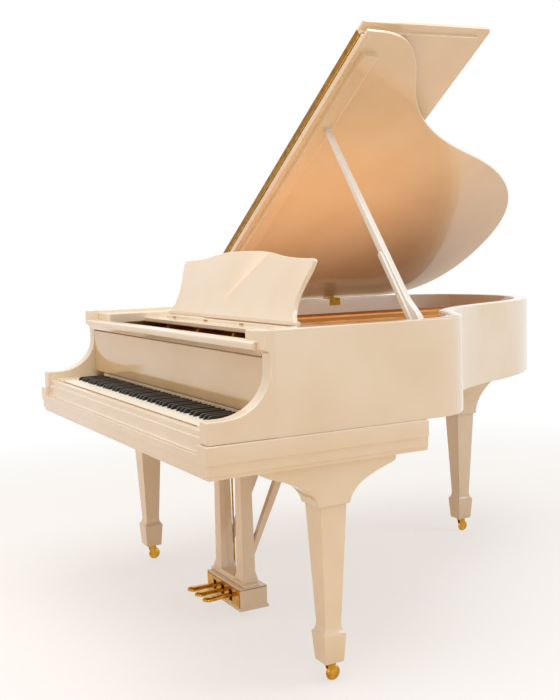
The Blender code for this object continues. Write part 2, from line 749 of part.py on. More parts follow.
def keyboard_pieces():
    """The keyboard on its frame. Five keys of the middle octave move by themselves."""
    shift = Frame("key_frame_body", (0, 0, 0), case)
    fixed_low = KEY_TOP - KEY_THICK
    moving_low = fixed_low + BALANCE_PLAY + RAIL_OVERLAP
    naturals = []
    sharps = []
    moving = ("C4", "Cs4", "D4", "Ds4", "E4")
    for kind, name, left, right, stick_left, stick_right in key_layout():
        plan = (left, right, stick_left, stick_right)
        if name in moving:
            place = (0, BALANCE_Y, moving_low)
            body = Frame(f"key_{name}_body", place, shift)
            if kind == "natural":
                key = put(f"key_{name}", natural_mesh(name, plan, moving_low), key_white, body)
            else:
                key = put(f"key_{name}", sharp_mesh(name, plan, moving_low, KEY_BACK_Y), ebony, body)
        elif kind == "natural":
            naturals.append(natural_mesh(name, plan, fixed_low))
        else:
            sharps.append(sharp_mesh(name, plan, moving_low, SHARP_STICK_BACK_Y - 0.002))
    rail_low = KEYBED_TOP + SEAT
    reach = KEYBOARD_WIDTH / 2 - 0.004
    white = put("natural_keys", joined_mesh("naturals", naturals), key_white, shift)
    change(white, box_mesh("balance_rail", (-reach, BALANCE_Y - RAIL_DEPTH / 2, rail_low),
                           (reach, BALANCE_Y + RAIL_DEPTH / 2, fixed_low + RAIL_OVERLAP)), "UNION")
    black = put("sharp_keys", joined_mesh("sharps", sharps), ebony, shift)
    change(black, box_mesh("back_rail", (-reach, SHARP_STICK_BACK_Y - RAIL_DEPTH, rail_low),
                           (reach, SHARP_STICK_BACK_Y, moving_low + 0.004)), "UNION")
    hammer = [(HAMMER_RAIL_Y - 0.030, HAMMER_RAIL_Z), (HAMMER_RAIL_Y + 0.030, HAMMER_RAIL_Z),
              (HAMMER_RAIL_Y + 0.030, HAMMER_RAIL_Z + 0.018), (HAMMER_Y, HAMMER_RAIL_Z + 0.022),
              (HAMMER_Y, HAMMER_RAIL_Z + 0.060), (HAMMER_Y - 0.012, HAMMER_RAIL_Z + 0.060),
              (HAMMER_Y - 0.012, HAMMER_RAIL_Z + 0.028), (HAMMER_RAIL_Y + 0.020, HAMMER_RAIL_Z + 0.026),
              (HAMMER_RAIL_Y - 0.030, HAMMER_RAIL_Z + 0.026)]
    rail = put("hammer_rail", side_mesh("hammer_rail", hammer, -reach, reach), maple, shift)
    posts = [box_mesh("post", (x - 0.012, HAMMER_RAIL_Y - 0.015, rail_low),
                      (x + 0.012, HAMMER_RAIL_Y + 0.015, HAMMER_RAIL_Z + 0.004))
             for x in HAMMER_POST_XS]
    change(rail, joined_mesh("posts", posts), "UNION")


def plate_loop(inset, front_y):
    """An outline inside the rim, closed straight across its front."""
    return case_path(inset, front_y, front_y)


def bridge_piece(name, parts):
    """A bridge on the soundboard, notched where the plate's bars pass over it."""
    spine = [(x * HALF, STRAIGHT_END_Y + y * SOUND_LENGTH) for x, y in parts]
    loop = offset_path(spine, BRIDGE_WIDTH / 2) + offset_path(spine, -BRIDGE_WIDTH / 2)[::-1]
    foot = BOARD_TOP + SEAT
    bridge = put(name, outline_mesh(name, [loop], foot, foot + BRIDGE_HEIGHT), maple, case)
    reach = STRUT_BAR_WIDTH / 2 + 0.002
    notches = [box_mesh("notch", (x - reach, BELLY_Y, PLATE_TOP - PLATE_THICK + 0.008),
                        (x + reach, CASE_LENGTH, RIM_TOP)) for x in BAR_XS
               if min(a for a, b in loop) < x + reach and x - reach < max(a for a, b in loop)]
    change(bridge, joined_mesh("notches", notches), "DIFFERENCE")


def sound_pieces():
    """Pinblock, soundboard, bridges and cast plate."""
    put("pinblock", box_mesh("pinblock", (-LINER_FACE + SEAT, PLATE_FRONT_Y + 0.02,
        BOARD_BOTTOM - 0.010), (LINER_FACE - SEAT, PLATE_WEB_BACK_Y, BOARD_BOTTOM - 0.010
                                + PINBLOCK_THICK)), maple, case)

    edge = RIM_WALL + 2 * SEAT
    board = put("soundboard", outline_mesh("board", [plate_loop(edge, BELLY_Y)], BOARD_BOTTOM,
                                           BOARD_TOP), spruce, case)
    ribs = []
    rib_pitch = (SOUND_LENGTH - RIB_LAST - RIB_FIRST) / (RIB_COUNT - 1)
    for index in range(RIB_COUNT):
        y = STRAIGHT_END_Y + RIB_FIRST + index * rib_pitch
        left, right = rim_width_at(y + RIB_WIDTH, RIM_WALL + INNER_WALL + 0.006)
        ribs.append(box_mesh("rib", (left, y, BOARD_BOTTOM - RIB_HEIGHT),
                             (right, y + RIB_WIDTH, BOARD_BOTTOM + 0.001)))
    change(board, joined_mesh("ribs", ribs), "UNION")

    treble = [(0.747, -0.018), (0.587, 0.071), (0.373, 0.213), (0.173, 0.372), (0.013, 0.541),
              (-0.120, 0.674), (-0.307, 0.762), (-0.533, 0.798)]
    bass = [(-0.240, 0.585), (-0.440, 0.652), (-0.667, 0.691), (-0.800, 0.700)]
    bridge_piece("treble_bridge", treble)
    bridge_piece("bass_bridge", bass)

    outline = plate_loop(RIM_WALL + PLATE_PLAY, LEDGE_END_Y + 0.003)
    opening = plate_loop(RIM_WALL + PLATE_FLANGE, PLATE_WEB_BACK_Y + 0.060)
    plate = put("plate", outline_mesh("plate", [outline, opening], PLATE_TOP - PLATE_THICK,
                                      PLATE_TOP), gold_iron, case)
    neck = LINER_FACE - PLATE_PLAY
    change(plate, box_mesh("web", (-neck, PLATE_FRONT_Y, PLATE_TOP - PLATE_THICK + 0.001),
                           (neck, PLATE_WEB_BACK_Y + 0.020, PLATE_TOP - 0.001)), "UNION")
    change(plate, box_mesh("strike_gap", (-DAMPER_REACH - 0.02, PLATE_WEB_BACK_Y,
                                          PLATE_TOP - 0.03),
                           (DAMPER_REACH + 0.02, PLATE_WEB_BACK_Y + 0.075,
                            PLATE_TOP + 0.03)), "DIFFERENCE")
    under = BOARD_TOP + SEAT
    skirt_edge = RIM_WALL + PLATE_PLAY + 0.002
    skirt = ring_loop(skirt_edge, skirt_edge + PLATE_SKIRT, BELLY_Y + 0.06)
    change(plate, outline_mesh("skirt", [skirt], under, PLATE_TOP - PLATE_THICK / 2), "UNION")
    bars = []
    for x in BAR_XS:
        back = rim_end_at(x, RIM_WALL + PLATE_FLANGE - 0.020)
        bars.append(box_mesh("bar", (x - STRUT_BAR_WIDTH / 2, PLATE_FRONT_Y + 0.005,
                                     PLATE_TOP - PLATE_THICK + 0.010),
                             (x + STRUT_BAR_WIDTH / 2, back, STRUT_BAR_TOP)))
    change(plate, joined_mesh("bars", bars), "UNION")

    lift = Frame("damper_body", (0, 0, 0), case)
    side = LINER_FACE - SEAT
    rail = put("damper_rail", box_mesh("damper_rail", (-side, DAMPER_Y - 0.009, DAMPER_RAIL_Z),
                                       (side, DAMPER_Y + 0.009, DAMPER_RAIL_Z + 0.014)), maple, lift)
    wires = []
    heads = []
    head_low = PLATE_TOP + DAMPER_HEAD_LIFT
    count = int(2 * DAMPER_REACH / DAMPER_PITCH)
    for index in range(count):
        x = -DAMPER_REACH + (index + 0.5) * DAMPER_PITCH
        if min(abs(x - bar) for bar in BAR_XS) < 0.022:
            continue
        wires.append(box_mesh("wire", (x - 0.0012, DAMPER_Y - 0.0012,
                                       DAMPER_RAIL_Z + 0.012),
                              (x + 0.0012, DAMPER_Y + 0.0012, head_low + 0.0025)))
        heads.append(box_mesh("head", (x - DAMPER_HEAD / 2, DAMPER_Y - 0.017, head_low),
                              (x + DAMPER_HEAD / 2, DAMPER_Y + 0.002, head_low + DAMPER_HEAD_HIGH)))
    change(rail, joined_mesh("wires", wires), "UNION")
    change(rail, joined_mesh("heads", heads), "UNION")


def rim_width_at(y, inset):
    """How far the case's plan, moved in by an inset, reaches to each side at a depth."""
    path = case_path(inset, 0, 0)
    sides = []
    for (x0, y0), (x1, y1) in zip(path, path[1:]):
        if min(y0, y1) <= y < max(y0, y1):
            sides.append(x0 + (x1 - x0) * (y - y0) / (y1 - y0))
    return min(sides), max(sides)


def rim_end_at(x, inset):
    """How far back the case's plan, moved in by an inset, reaches at a place across it."""
    path = case_path(inset, 0, 0)
    for (x0, y0), (x1, y1) in zip(path[1:], path[2:]):
        if x1 <= x <= x0:
            return y0 + (y1 - y0) * (x0 - x) / (x0 - x1)
    return SPINE_END_Y


def flap_loop(left, right, front, back):
    """The front flap's outline, with its two front corners rounded off."""
    cut = FLAP_CORNER
    return [(left, back), (left, front + cut), (left + cut * 0.3, front + cut * 0.3),
            (left + cut, front), (right - cut, front), (right - cut * 0.3, front + cut * 0.3),
            (right, front + cut), (right, back)]


def lid_pieces():
    """The main lid on its hinges, with the front flap folded back on top of it."""
    knuckle = HINGE_BARREL + 0.0013
    for index, y in enumerate(HINGE_YS):
        low = y - HINGE_LENGTH / 2
        high = y + HINGE_LENGTH / 2
        hinge = put(f"lid_hinge_{index + 1}", rod_mesh("barrel", HINGE_BARREL,
                    (HINGE_X, low, HINGE_Z), (HINGE_X, high, HINGE_Z)), brass, case)
        face = SEAT - INNER_FACE
        inner = face + HINGE_LEAF_THICK
        leaf_top = RIM_TOP + SEAT + HINGE_LEAF_THICK
        leaf = [(HINGE_X, RIM_TOP + SEAT), (face, RIM_TOP + SEAT), (face, RIM_TOP - HINGE_DROP),
                (inner, RIM_TOP - HINGE_DROP), (inner, leaf_top), (HINGE_X, leaf_top)]
        change(hinge, front_mesh("leaf", leaf, low, high), "UNION")

    body = Frame("lid_body", (HINGE_X, 0, HINGE_Z), case, (0, -LID_ANGLE, 0))
    outline = [(x - HINGE_X, y) for x, y in case_path(-LID_OVERHANG, FOLD_Y + SEAT, FOLD_Y + SEAT)]
    lid = put("main_lid", outline_mesh("lid", [outline], 0, LID_EDGE), ivory, body)
    field = [(x - HINGE_X, y) for x, y in case_path(LID_BORDER - LID_OVERHANG, FOLD_Y + SEAT,
                                                    FOLD_Y + SEAT)]
    change(lid, outline_mesh("field", [field], LID_EDGE - 0.001, LID_THICK), "UNION")
    batten_front = FOLD_Y + BATTEN_FRONT
    batten_end = CASE_WIDTH + HINGE_OUT + LID_OVERHANG - BATTEN_END
    change(lid, box_mesh("batten", (BATTEN_START, batten_front, -BATTEN_THICK),
                         (batten_end, batten_front + BATTEN_WIDTH, 0.001)), "UNION")
    notches = [box_mesh("notch", (-knuckle, y - HINGE_LENGTH / 2 - 0.001, -0.01),
                        (knuckle, y + HINGE_LENGTH / 2 + 0.001, knuckle)) for y in HINGE_YS]
    change(lid, joined_mesh("notches", notches), "DIFFERENCE")
    fold_height = LID_THICK + SEAT + FOLD_BARREL
    button_top = fold_height + (fold_height - LID_THICK) + BUTTON_REACH * tan(FLAP_TILT) - 0.001
    buttons = [rod_mesh("button", BUTTON_RADIUS, (x, FOLD_Y + BUTTON_REACH, LID_THICK - 0.004),
                        (x, FOLD_Y + BUTTON_REACH, button_top)) for x in (BUTTON_INSET, CASE_WIDTH - BUTTON_INSET)]
    change(lid, joined_mesh("buttons", buttons), "UNION")

    cup_place = (PROP_REACH, PROP_Y)
    cup_top = -BATTEN_THICK - SEAT
    put("prop_cup", rod_mesh("cup", CUP_RADIUS, (*cup_place, cup_top - CUP_THICK),
                             (*cup_place, cup_top), 20), ivory, body)

    flap_body = Frame("flap_body", (0, FOLD_Y, fold_height), body, (-pi + FLAP_TILT, 0, 0))
    left = -HALF - LID_OVERHANG - HINGE_X
    right = HALF + LID_OVERHANG - HINGE_X
    front = FLAP_FRONT_Y - FOLD_Y
    back = -FOLD_LEAF_THICK - 2 * SEAT
    edge = LID_EDGE - fold_height
    flap = put("front_flap", outline_mesh("flap", [flap_loop(left, right, front, back)],
                                          -fold_height, edge), ivory, flap_body)
    field = flap_loop(left + LID_BORDER, right - LID_BORDER, front + LID_BORDER, back)
    change(flap, outline_mesh("field", [field], edge - 0.001, LID_THICK - fold_height), "UNION")
    strip = put("flap_hinge", box_mesh("strip", (left + FOLD_LEAF_INSET, -FOLD_LEAF_THICK - SEAT,
                0.001 - fold_height), (right - FOLD_LEAF_INSET, -SEAT, -0.0004)), brass, flap_body)
    change(strip, rod_mesh("barrel", FOLD_BARREL, (left + FOLD_LEAF_INSET, 0, 0),
                           (right - FOLD_LEAF_INSET, 0, 0)), "UNION")
    return body


def prop_pieces():
    """The long prop on its bracket, the short prop that hangs beside it."""
    half = PROP_THICK / 2
    wall = half + SEAT
    base = PLATE_TOP + SEAT
    bracket = put("prop_bracket", box_mesh("bracket", (PROP_X - 0.020, PROP_Y - 0.032, base),
                  (PROP_X + 0.022, PROP_Y + 0.032, base + 0.003)), brass, case)
    ears = []
    for low, high in ((-wall - BRACKET_WALL, -wall), (wall, wall + BRACKET_WALL)):
        ears.append(front_mesh("ear", [(PROP_X - 0.016, base + 0.001), (PROP_X + 0.016, base + 0.001),
                    (PROP_X + 0.009, PROP_Z + 0.008), (PROP_X - 0.009, PROP_Z + 0.008)],
                    PROP_Y + low, PROP_Y + high))
    change(bracket, joined_mesh("ears", ears), "UNION")
    change(bracket, rod_mesh("pin", PROP_PIN, (PROP_X, PROP_Y - wall - 0.001, PROP_Z),
                             (PROP_X, PROP_Y + wall + 0.001, PROP_Z)), "UNION")

    depth = BATTEN_THICK + CUP_THICK + 2 * SEAT
    tip = Vector((HINGE_X + PROP_REACH * cos(LID_ANGLE) + depth * sin(LID_ANGLE), 0,
                  HINGE_Z + PROP_REACH * sin(LID_ANGLE) - depth * cos(LID_ANGLE)))
    pivot = Vector((PROP_X, 0, PROP_Z))
    lean = atan2(pivot.x - tip.x, tip.z - pivot.z)
    length = (tip - pivot).length
    body = Frame("prop_body", (PROP_X, PROP_Y, PROP_Z), case, (0, -lean, 0))
    slope = tan(lean - LID_ANGLE)
    low = PROP_LOW_WIDTH / 2
    end = PROP_TIP_WIDTH / 2
    foot = PROP_FOOT_LENGTH
    flare = PROP_FLARE_LENGTH
    left = PROP_FOOT_LEFT
    right = PROP_FOOT_RIGHT
    loop = [(-0.011, -0.016), (0.011, -0.016), (right - 0.006, -0.010), (right, 0.008),
            (right, foot), (right - 0.004, foot + 0.018), (low + 0.004, flare - 0.015),
            (low, flare), (end, length - end * slope), (-end, length + end * slope),
            (-low, flare), (-low - 0.002, flare - 0.020), (-left, foot), (-left, -0.004)]
    prop = put("lid_prop", front_mesh("prop", loop, -half, half), ivory, body)
    change(prop, rod_mesh("bore", PROP_PIN + SEAT, (0, -half - 0.01, 0), (0, half + 0.01, 0)),
           "DIFFERENCE")

    front = -half - SEAT
    short_body = Frame("short_prop_body", (0, front, SHORT_PROP_HIGH - 0.012), body)
    width = SHORT_PROP_WIDTH / 2
    short = [(-width, SHORT_PROP_LOW + 0.004), (-width + 0.004, SHORT_PROP_LOW),
             (width - 0.004, SHORT_PROP_LOW), (width, SHORT_PROP_LOW + 0.004),
             (width, SHORT_PROP_HIGH - 0.006), (width - 0.006, SHORT_PROP_HIGH),
             (-width + 0.006, SHORT_PROP_HIGH), (-width, SHORT_PROP_HIGH - 0.006)]
    put("short_prop", front_mesh("short", short, front - SHORT_PROP_THICK, front), ivory, short_body)


def desk_outline():
    """Half of the music desk's outline, from the centre of its crest to its foot."""
    crest = DESK_CREST
    top = DESK_EAR_TOP
    ear = DESK_EAR_HALF
    waist = DESK_WAIST_HALF
    high = DESK_WAIST_HIGH
    foot = DESK_FOOT_HALF
    sweep = (ear / 2, (crest + top) / 2 + 0.001)
    points = [(0.0, crest)]
    points += bezier((0, crest), (ear * 0.23, crest), (ear * 0.36, crest - 0.003), sweep, 5)
    points += bezier(sweep, (ear * 0.63, top + 0.007), (ear * 0.75, top + 0.001),
                     (ear - 0.010, top), 4)
    points += [(ear - 0.002, top - 0.002)]
    points += bezier((ear, top - 0.007), (ear, top - 0.050), (waist, high + 0.057), (waist, high), 6)
    points += bezier((waist, high), (waist, high / 2), (foot - 0.030, 0.004), (foot, 0), 5)[1:]
    return points


def shelf_pieces():
    """The sliding music shelf, and the music desk that folds back on it with its strut."""
    shelf_body = Frame("shelf_body", (0, 0, 0), case)
    inner = INNER_FACE - SEAT - SHELF_ARM_WIDTH
    shelf = put("music_shelf", box_mesh("shelf", (-inner - 0.01, SHELF_FRONT_Y, SHELF_BOTTOM),
                (inner + 0.01, SHELF_BACK_Y, SHELF_TOP)), ivory, shelf_body)
    change(shelf, box_pair("arms", inner, INNER_FACE - SEAT, STRETCHER_BACK_Y + SEAT,
                           LEDGE_END_Y, SHELF_BOTTOM, SHELF_BOTTOM + SHELF_ARM_THICK), "UNION")
    change(shelf, box_mesh("desk_rail", (-DESK_RAIL_HALF, DESK_Y - DESK_RAIL_DEPTH / 2,
                                         SHELF_TOP - 0.002),
                           (DESK_RAIL_HALF, DESK_Y + DESK_RAIL_DEPTH / 2,
                            SHELF_TOP + DESK_RAIL_HEIGHT)), "UNION")
    ears = []
    slots = []
    for x in DESK_HINGE_XS:
        for side in (-1, 1):
            near = x + side * (DESK_HINGE_WIDTH / 2 + SEAT)
            far = near + side * DESK_EAR_WIDTH
            low = min(near, far)
            high = max(near, far)
            ears.append(box_mesh("ear", (low, DESK_Y - 0.005, SHELF_TOP + 0.004),
                                 (high, DESK_Y + 0.005, DESK_AXIS_Z + 0.004)))
            slots.append(box_mesh("slot", (low - 0.001, -0.02, -0.02), (high + 0.001, 0.02, 0.0145)))
    change(shelf, joined_mesh("ears", ears), "UNION")

    desk_body = Frame("desk_body", (0, DESK_Y, DESK_AXIS_Z), shelf_body, (-DESK_LEAN, 0, 0))
    half = DESK_THICK / 2
    right = desk_outline()
    loop = right + [(-x, z) for x, z in right[:0:-1]]
    desk = put("music_desk", front_mesh("desk", loop, -half, half), ivory, desk_body)
    reach = DESK_FOOT_HALF - 0.001
    change(desk, rod_mesh("foot", DESK_ROUND, (-reach, 0, 0.0007), (reach, 0, 0.0007), 16), "UNION")
    change(desk, joined_mesh("slots", slots), "DIFFERENCE")

    length = STRUT_PIVOT + STRUT_EXTRA
    strut_body = Frame("strut_body", (0, STRUT_OFFSET, STRUT_PIVOT), desk_body,
                       (2 * DESK_LEAN, 0, 0))
    width = STRUT_WIDTH / 2
    strut = [(-width, -length), (width, -length), (width * 0.6, 0.001), (-width * 0.6, 0.001)]
    low = -STRUT_THICK / 2
    put("desk_strut", front_mesh("strut", strut, low, -low), ivory, strut_body)


def leg_profile():
    """Half width and height down a leg, from its top to the underside of its foot."""
    return [(LEG_HALF_TOP, LEG_TOP - SEAT), (LEG_HALF_ANKLE, LEG_ANKLE),
            (LEG_HALF_ANKLE + 0.001, LEG_ANKLE - 0.006),
            (LEG_HALF_ANKLE + 0.004, LEG_ANKLE - 0.011),
            (FOOT_HALF_TOP - 0.001, FOOT_TOP + 0.001), (FOOT_HALF_TOP, FOOT_TOP - 0.002),
            (FOOT_HALF_BOTTOM, FOOT_BOTTOM + 0.004), (FOOT_HALF_BOTTOM - 0.004, FOOT_BOTTOM)]


def capital_loop(top, base):
    """Half of a bracket's outline: from its block's foot out to the tip of its wing."""
    block = CAPITAL_HALF
    curve = bezier((block, LEG_TOP), (block + 0.012, LEG_TOP + (base - LEG_TOP) * 0.54),
                   (block + 0.070, LEG_TOP + (base - LEG_TOP) * 0.74), (CAPITAL_REACH - 0.006, base), 7)
    return [(block - 0.006, LEG_TOP), *curve, (CAPITAL_REACH, base + 0.006), (CAPITAL_REACH, top)]


def leg_pieces():
    """Three legs, each under its bracketed capital and on its caster."""
    sites = (("bass", -LEG_X, LEG_Y), ("treble", LEG_X, LEG_Y), ("tail", TAIL_LEG_X, TAIL_LEG_Y))
    for name, x, y in sites:
        leg = put(f"leg_{name}", square_turned(name, leg_profile()), ivory, case, (x, y, 0))
        screw(leg, 4)
        if name == "tail":
            top = RIM_BOTTOM - SEAT
            base = TAIL_CAPITAL_BASE - 0.020
        else:
            top = MOULDING_BOTTOM - SEAT
            base = top - CAPITAL_TIP
        right = capital_loop(top, base)
        loop = [(y + a, b) for a, b in right] + [(y - a, b) for a, b in right[::-1]]
        wing = CAPITAL_HALF - 0.005
        capital = put(f"capital_{name}", side_mesh(name, loop, x - wing, x + wing), ivory, case)
        inward = -1 if x > 0 else 1
        reach = [(a if a < CAPITAL_HALF else CAPITAL_HALF + (a - CAPITAL_HALF) * 0.55, b)
                 for a, b in right]
        across = [(x + inward * a, b) for a, b in reach] + [(x, top), (x, LEG_TOP)]
        change(capital, front_mesh("inner_wing", across, y - CAPITAL_HALF, y + CAPITAL_HALF), "UNION")
        outer = (x - inward * (CAPITAL_HALF - 0.001), x)
        change(capital, box_mesh("block", (min(outer), y - CAPITAL_HALF, LEG_TOP),
                                 (max(outer), y + CAPITAL_HALF, top)), "UNION")
        if name == "tail":
            change(capital, box_mesh("step", (x - 0.115, y - CAPITAL_REACH - TAIL_STEP,
                                              TAIL_CAPITAL_BASE),
                                     (x + 0.115, y + 0.190, top)), "UNION")
        caster_pieces(name, x, y)


def caster_pieces(name, x, y):
    """A caster: a fork that swivels under the foot, and the wheel that rolls in it."""
    fork_body = Frame(f"caster_{name}_body", (x, y, FOOT_BOTTOM), case)
    wheel_y = y + WHEEL_TRAIL
    wheel_z = WHEEL_RADIUS
    inner = WHEEL_WIDTH / 2 + FORK_PLAY
    outer = inner + FORK_WALL
    crown = 2 * WHEEL_RADIUS + 0.003
    fork = put(f"caster_fork_{name}", rod_mesh("crown", 0.017, (x, y, crown + 0.003),
               (x, y, FOOT_BOTTOM - SEAT), 16), brass, fork_body)
    cheeks = []
    for low, high in ((-outer, -inner), (inner, outer)):
        cheeks.append(side_mesh("cheek", [(y - 0.012, crown + 0.006), (y - 0.006, crown - 0.014),
                      (wheel_y - 0.007, wheel_z - 0.006), (wheel_y + 0.007, wheel_z - 0.006),
                      (y + 0.014, crown - 0.006), (y + 0.014, crown + 0.006)][::-1],
                      x + low, x + high))
    cheeks.append(box_mesh("bridge", (x - outer, y - 0.012, crown), (x + outer, y + 0.014,
                                                                   crown + 0.006)))
    change(fork, joined_mesh("cheeks", cheeks[:2]), "UNION")
    change(fork, cheeks[2], "UNION")
    change(fork, rod_mesh("axle", AXLE_RADIUS, (x - outer + 0.001, wheel_y, wheel_z),
                          (x + outer - 0.001, wheel_y, wheel_z)), "UNION")
    wheel_body = Frame(f"wheel_{name}_body", (x, wheel_y, wheel_z), fork_body)
    wheel = put(f"caster_wheel_{name}", rod_mesh("wheel", WHEEL_RADIUS, (x - WHEEL_WIDTH / 2,
                wheel_y, wheel_z), (x + WHEEL_WIDTH / 2, wheel_y, wheel_z), 24), brass, wheel_body)
    change(wheel, rod_mesh("bore", AXLE_RADIUS + SEAT, (x - 0.05, wheel_y, wheel_z),
                           (x + 0.05, wheel_y, wheel_z)), "DIFFERENCE")


def lyre_pieces():
    """The pedal lyre: posts, box, brass plate, pedals, their rods and the two braces."""
    top = MOULDING_BOTTOM + 0.010 - SEAT
    posts = []
    for x in (-POST_SPREAD, POST_SPREAD):
        high = POST_HALF_TOP
        mesh = box_mesh("post", (-1, -1, 0), (1, 1, 1))
        for vert in mesh.vertices:
            half = POST_HALF_LOW if vert.co.z < 0.5 else high
            vert.co = (x + vert.co.x * half, POST_Y + vert.co.y * half,
                       BOX_TOP + 0.030 if vert.co.z < 0.5 else top - 0.010)
        posts.append(mesh)
        mesh = box_mesh("foot", (-1, -1, 0), (1, 1, 1))
        for vert in mesh.vertices:
            half = POST_FOOT_HALF if vert.co.z < 0.5 else POST_HALF_LOW
            vert.co = (x + vert.co.x * half, POST_Y + vert.co.y * half,
                       BOX_TOP + 0.018 if vert.co.z < 0.5 else BOX_TOP + 0.042)
        posts.append(mesh)
    lyre = put("lyre_frame", box_mesh("top_block", (-LYRE_TOP_HALF, LYRE_TOP_FRONT_Y,
               top - LYRE_TOP_THICK), (LYRE_TOP_HALF, LYRE_TOP_BACK_Y, top)), ivory, case)
    change(lyre, joined_mesh("posts", posts[0::2]), "UNION")
    change(lyre, joined_mesh("feet", posts[1::2]), "UNION")
    change(lyre, box_mesh("sole", (-POST_SPREAD - POST_FOOT_HALF - 0.002, POST_Y - POST_FOOT_HALF
                                   - 0.002, BOX_TOP + SEAT),
                          (POST_SPREAD + POST_FOOT_HALF + 0.002, POST_Y + 0.0235,
                           BOX_TOP + 0.020)), "UNION")
    slots = [rod_mesh("slot", ROD_RADIUS + ROD_CLEAR, (x, ROD_Y, BOX_TOP - 0.02),
                      (x, ROD_Y, top + 0.02)) for x in pedal_xs()]
    change(lyre, joined_mesh("slots", slots), "DIFFERENCE")

    box = put("pedal_box", box_mesh("box", (-BOX_HALF, BOX_FRONT_Y, BOX_BOTTOM),
              (BOX_HALF, BOX_BACK_Y, BOX_TOP)), ivory, case)
    change(box, box_mesh("plinth", (-BOX_HALF - 0.004, BOX_FRONT_Y - 0.004, BOX_BOTTOM),
                         (BOX_HALF + 0.004, BOX_BACK_Y + 0.004, BOX_BOTTOM + BOX_PLINTH)), "UNION")
    change(box, box_mesh("hollow", (-BOX_HALF + BOX_WALL, BOX_FRONT_Y - 0.02,
                                    PEDAL_PLATE_LOW + 0.004),
                         (BOX_HALF - BOX_WALL, BOX_BACK_Y - BOX_WALL, PEDAL_PLATE_TOP - 0.004)),
           "DIFFERENCE")
    holes = [rod_mesh("hole", ROD_RADIUS + ROD_CLEAR, (x, ROD_Y, PEDAL_Z), (x, ROD_Y, BOX_TOP + 0.02))
             for x in pedal_xs()]
    change(box, joined_mesh("holes", holes), "DIFFERENCE")
    change(box, rod_mesh("pin", PEDAL_PIN, (-BOX_HALF + BOX_WALL / 2, PEDAL_AXIS_Y, PEDAL_Z),
                         (BOX_HALF - BOX_WALL / 2, PEDAL_AXIS_Y, PEDAL_Z)), "UNION")

    plate_back = BOX_FRONT_Y - SEAT
    plate = put("pedal_plate", box_mesh("plate", (-PEDAL_PLATE_HALF, plate_back
                - PEDAL_PLATE_THICK, PEDAL_PLATE_LOW), (PEDAL_PLATE_HALF, plate_back,
                                                        PEDAL_PLATE_TOP)), brass, case)
    slots = [box_mesh("slot", (x - PEDAL_SLOT_HALF, plate_back - 0.02, PEDAL_Z - 0.020),
                      (x + PEDAL_SLOT_HALF, plate_back + 0.02, PEDAL_Z + 0.018))
             for x in pedal_xs()]
    change(plate, joined_mesh("slots", slots), "DIFFERENCE")

    for name, x in zip(("left", "middle", "right"), pedal_xs()):
        body = Frame(f"pedal_{name}_body", (x, PEDAL_AXIS_Y, PEDAL_Z), case)
        toe = PEDAL_TOE_WIDTH / 2
        neck = PEDAL_NECK_WIDTH / 2
        loop = [(x - neck, PEDAL_BACK_Y), (x - neck, PEDAL_TOE_Y + 0.075),
                (x - neck - 0.002, PEDAL_TOE_Y + 0.058), (x - toe, PEDAL_TOE_Y + 0.030),
                (x - toe, PEDAL_TOE_Y + 0.014), (x - toe + 0.005, PEDAL_TOE_Y + 0.004),
                (x - 0.006, PEDAL_TOE_Y), (x + 0.006, PEDAL_TOE_Y),
                (x + toe - 0.005, PEDAL_TOE_Y + 0.004), (x + toe, PEDAL_TOE_Y + 0.014),
                (x + toe, PEDAL_TOE_Y + 0.030), (x + neck + 0.002, PEDAL_TOE_Y + 0.058),
                (x + neck, PEDAL_TOE_Y + 0.075), (x + neck, PEDAL_BACK_Y)]
        pedal = put(f"pedal_{name}", outline_mesh(name, [loop], PEDAL_Z - PEDAL_THICK / 2,
                    PEDAL_Z + PEDAL_THICK / 2), brass, body)
        soften(pedal, 0.002)
        change(pedal, rod_mesh("bore", PEDAL_PIN + SEAT, (x - 0.03, PEDAL_AXIS_Y, PEDAL_Z),
                               (x + 0.03, PEDAL_AXIS_Y, PEDAL_Z)), "DIFFERENCE")
        rod_body = Frame(f"rod_{name}_body", (x, ROD_Y, PEDAL_Z), case)
        put(f"pedal_rod_{name}", rod_mesh("rod", ROD_RADIUS, (x, ROD_Y, PEDAL_Z + PEDAL_THICK / 2
            + 0.001), (x, ROD_Y, ROD_TOP), 10), brass, rod_body)

    start_y = POST_Y + POST_HALF_TOP + 0.001
    thick = LYRE_BRACE_THICK
    head_z = KEYBED_TOP - 0.050 - SEAT
    for name, side in (("bass", -1), ("treble", 1)):
        loop = [(start_y, BRACE_FOOT_Z), (start_y, BRACE_FOOT_Z + thick * 1.8),
                (BRACE_HEAD_Y - thick, head_z), (BRACE_HEAD_Y + thick * 0.6, head_z)]
        x = side * POST_SPREAD
        put(f"lyre_brace_{name}", side_mesh("brace", loop, x - 0.011, x + 0.011), ivory, case)


clear_scene()
collection = new_collection("grand_piano")
tools = new_collection("cutting_tools")
ivory = finish("ivory_lacquer", (0.85, 0.76, 0.62), 0.25)
brass = finish("brass", (0.72, 0.50, 0.18), 0.25, 1.0)
maple = finish("maple", (0.62, 0.44, 0.26), 0.5)
spruce = finish("spruce", (0.72, 0.52, 0.30), 0.5)
gold_iron = finish("gold_painted_iron", (0.62, 0.36, 0.13), 0.35, 0.6)
key_white = finish("key_white", (0.88, 0.86, 0.80), 0.3)
ebony = finish("key_black", (0.02, 0.018, 0.015), 0.35)

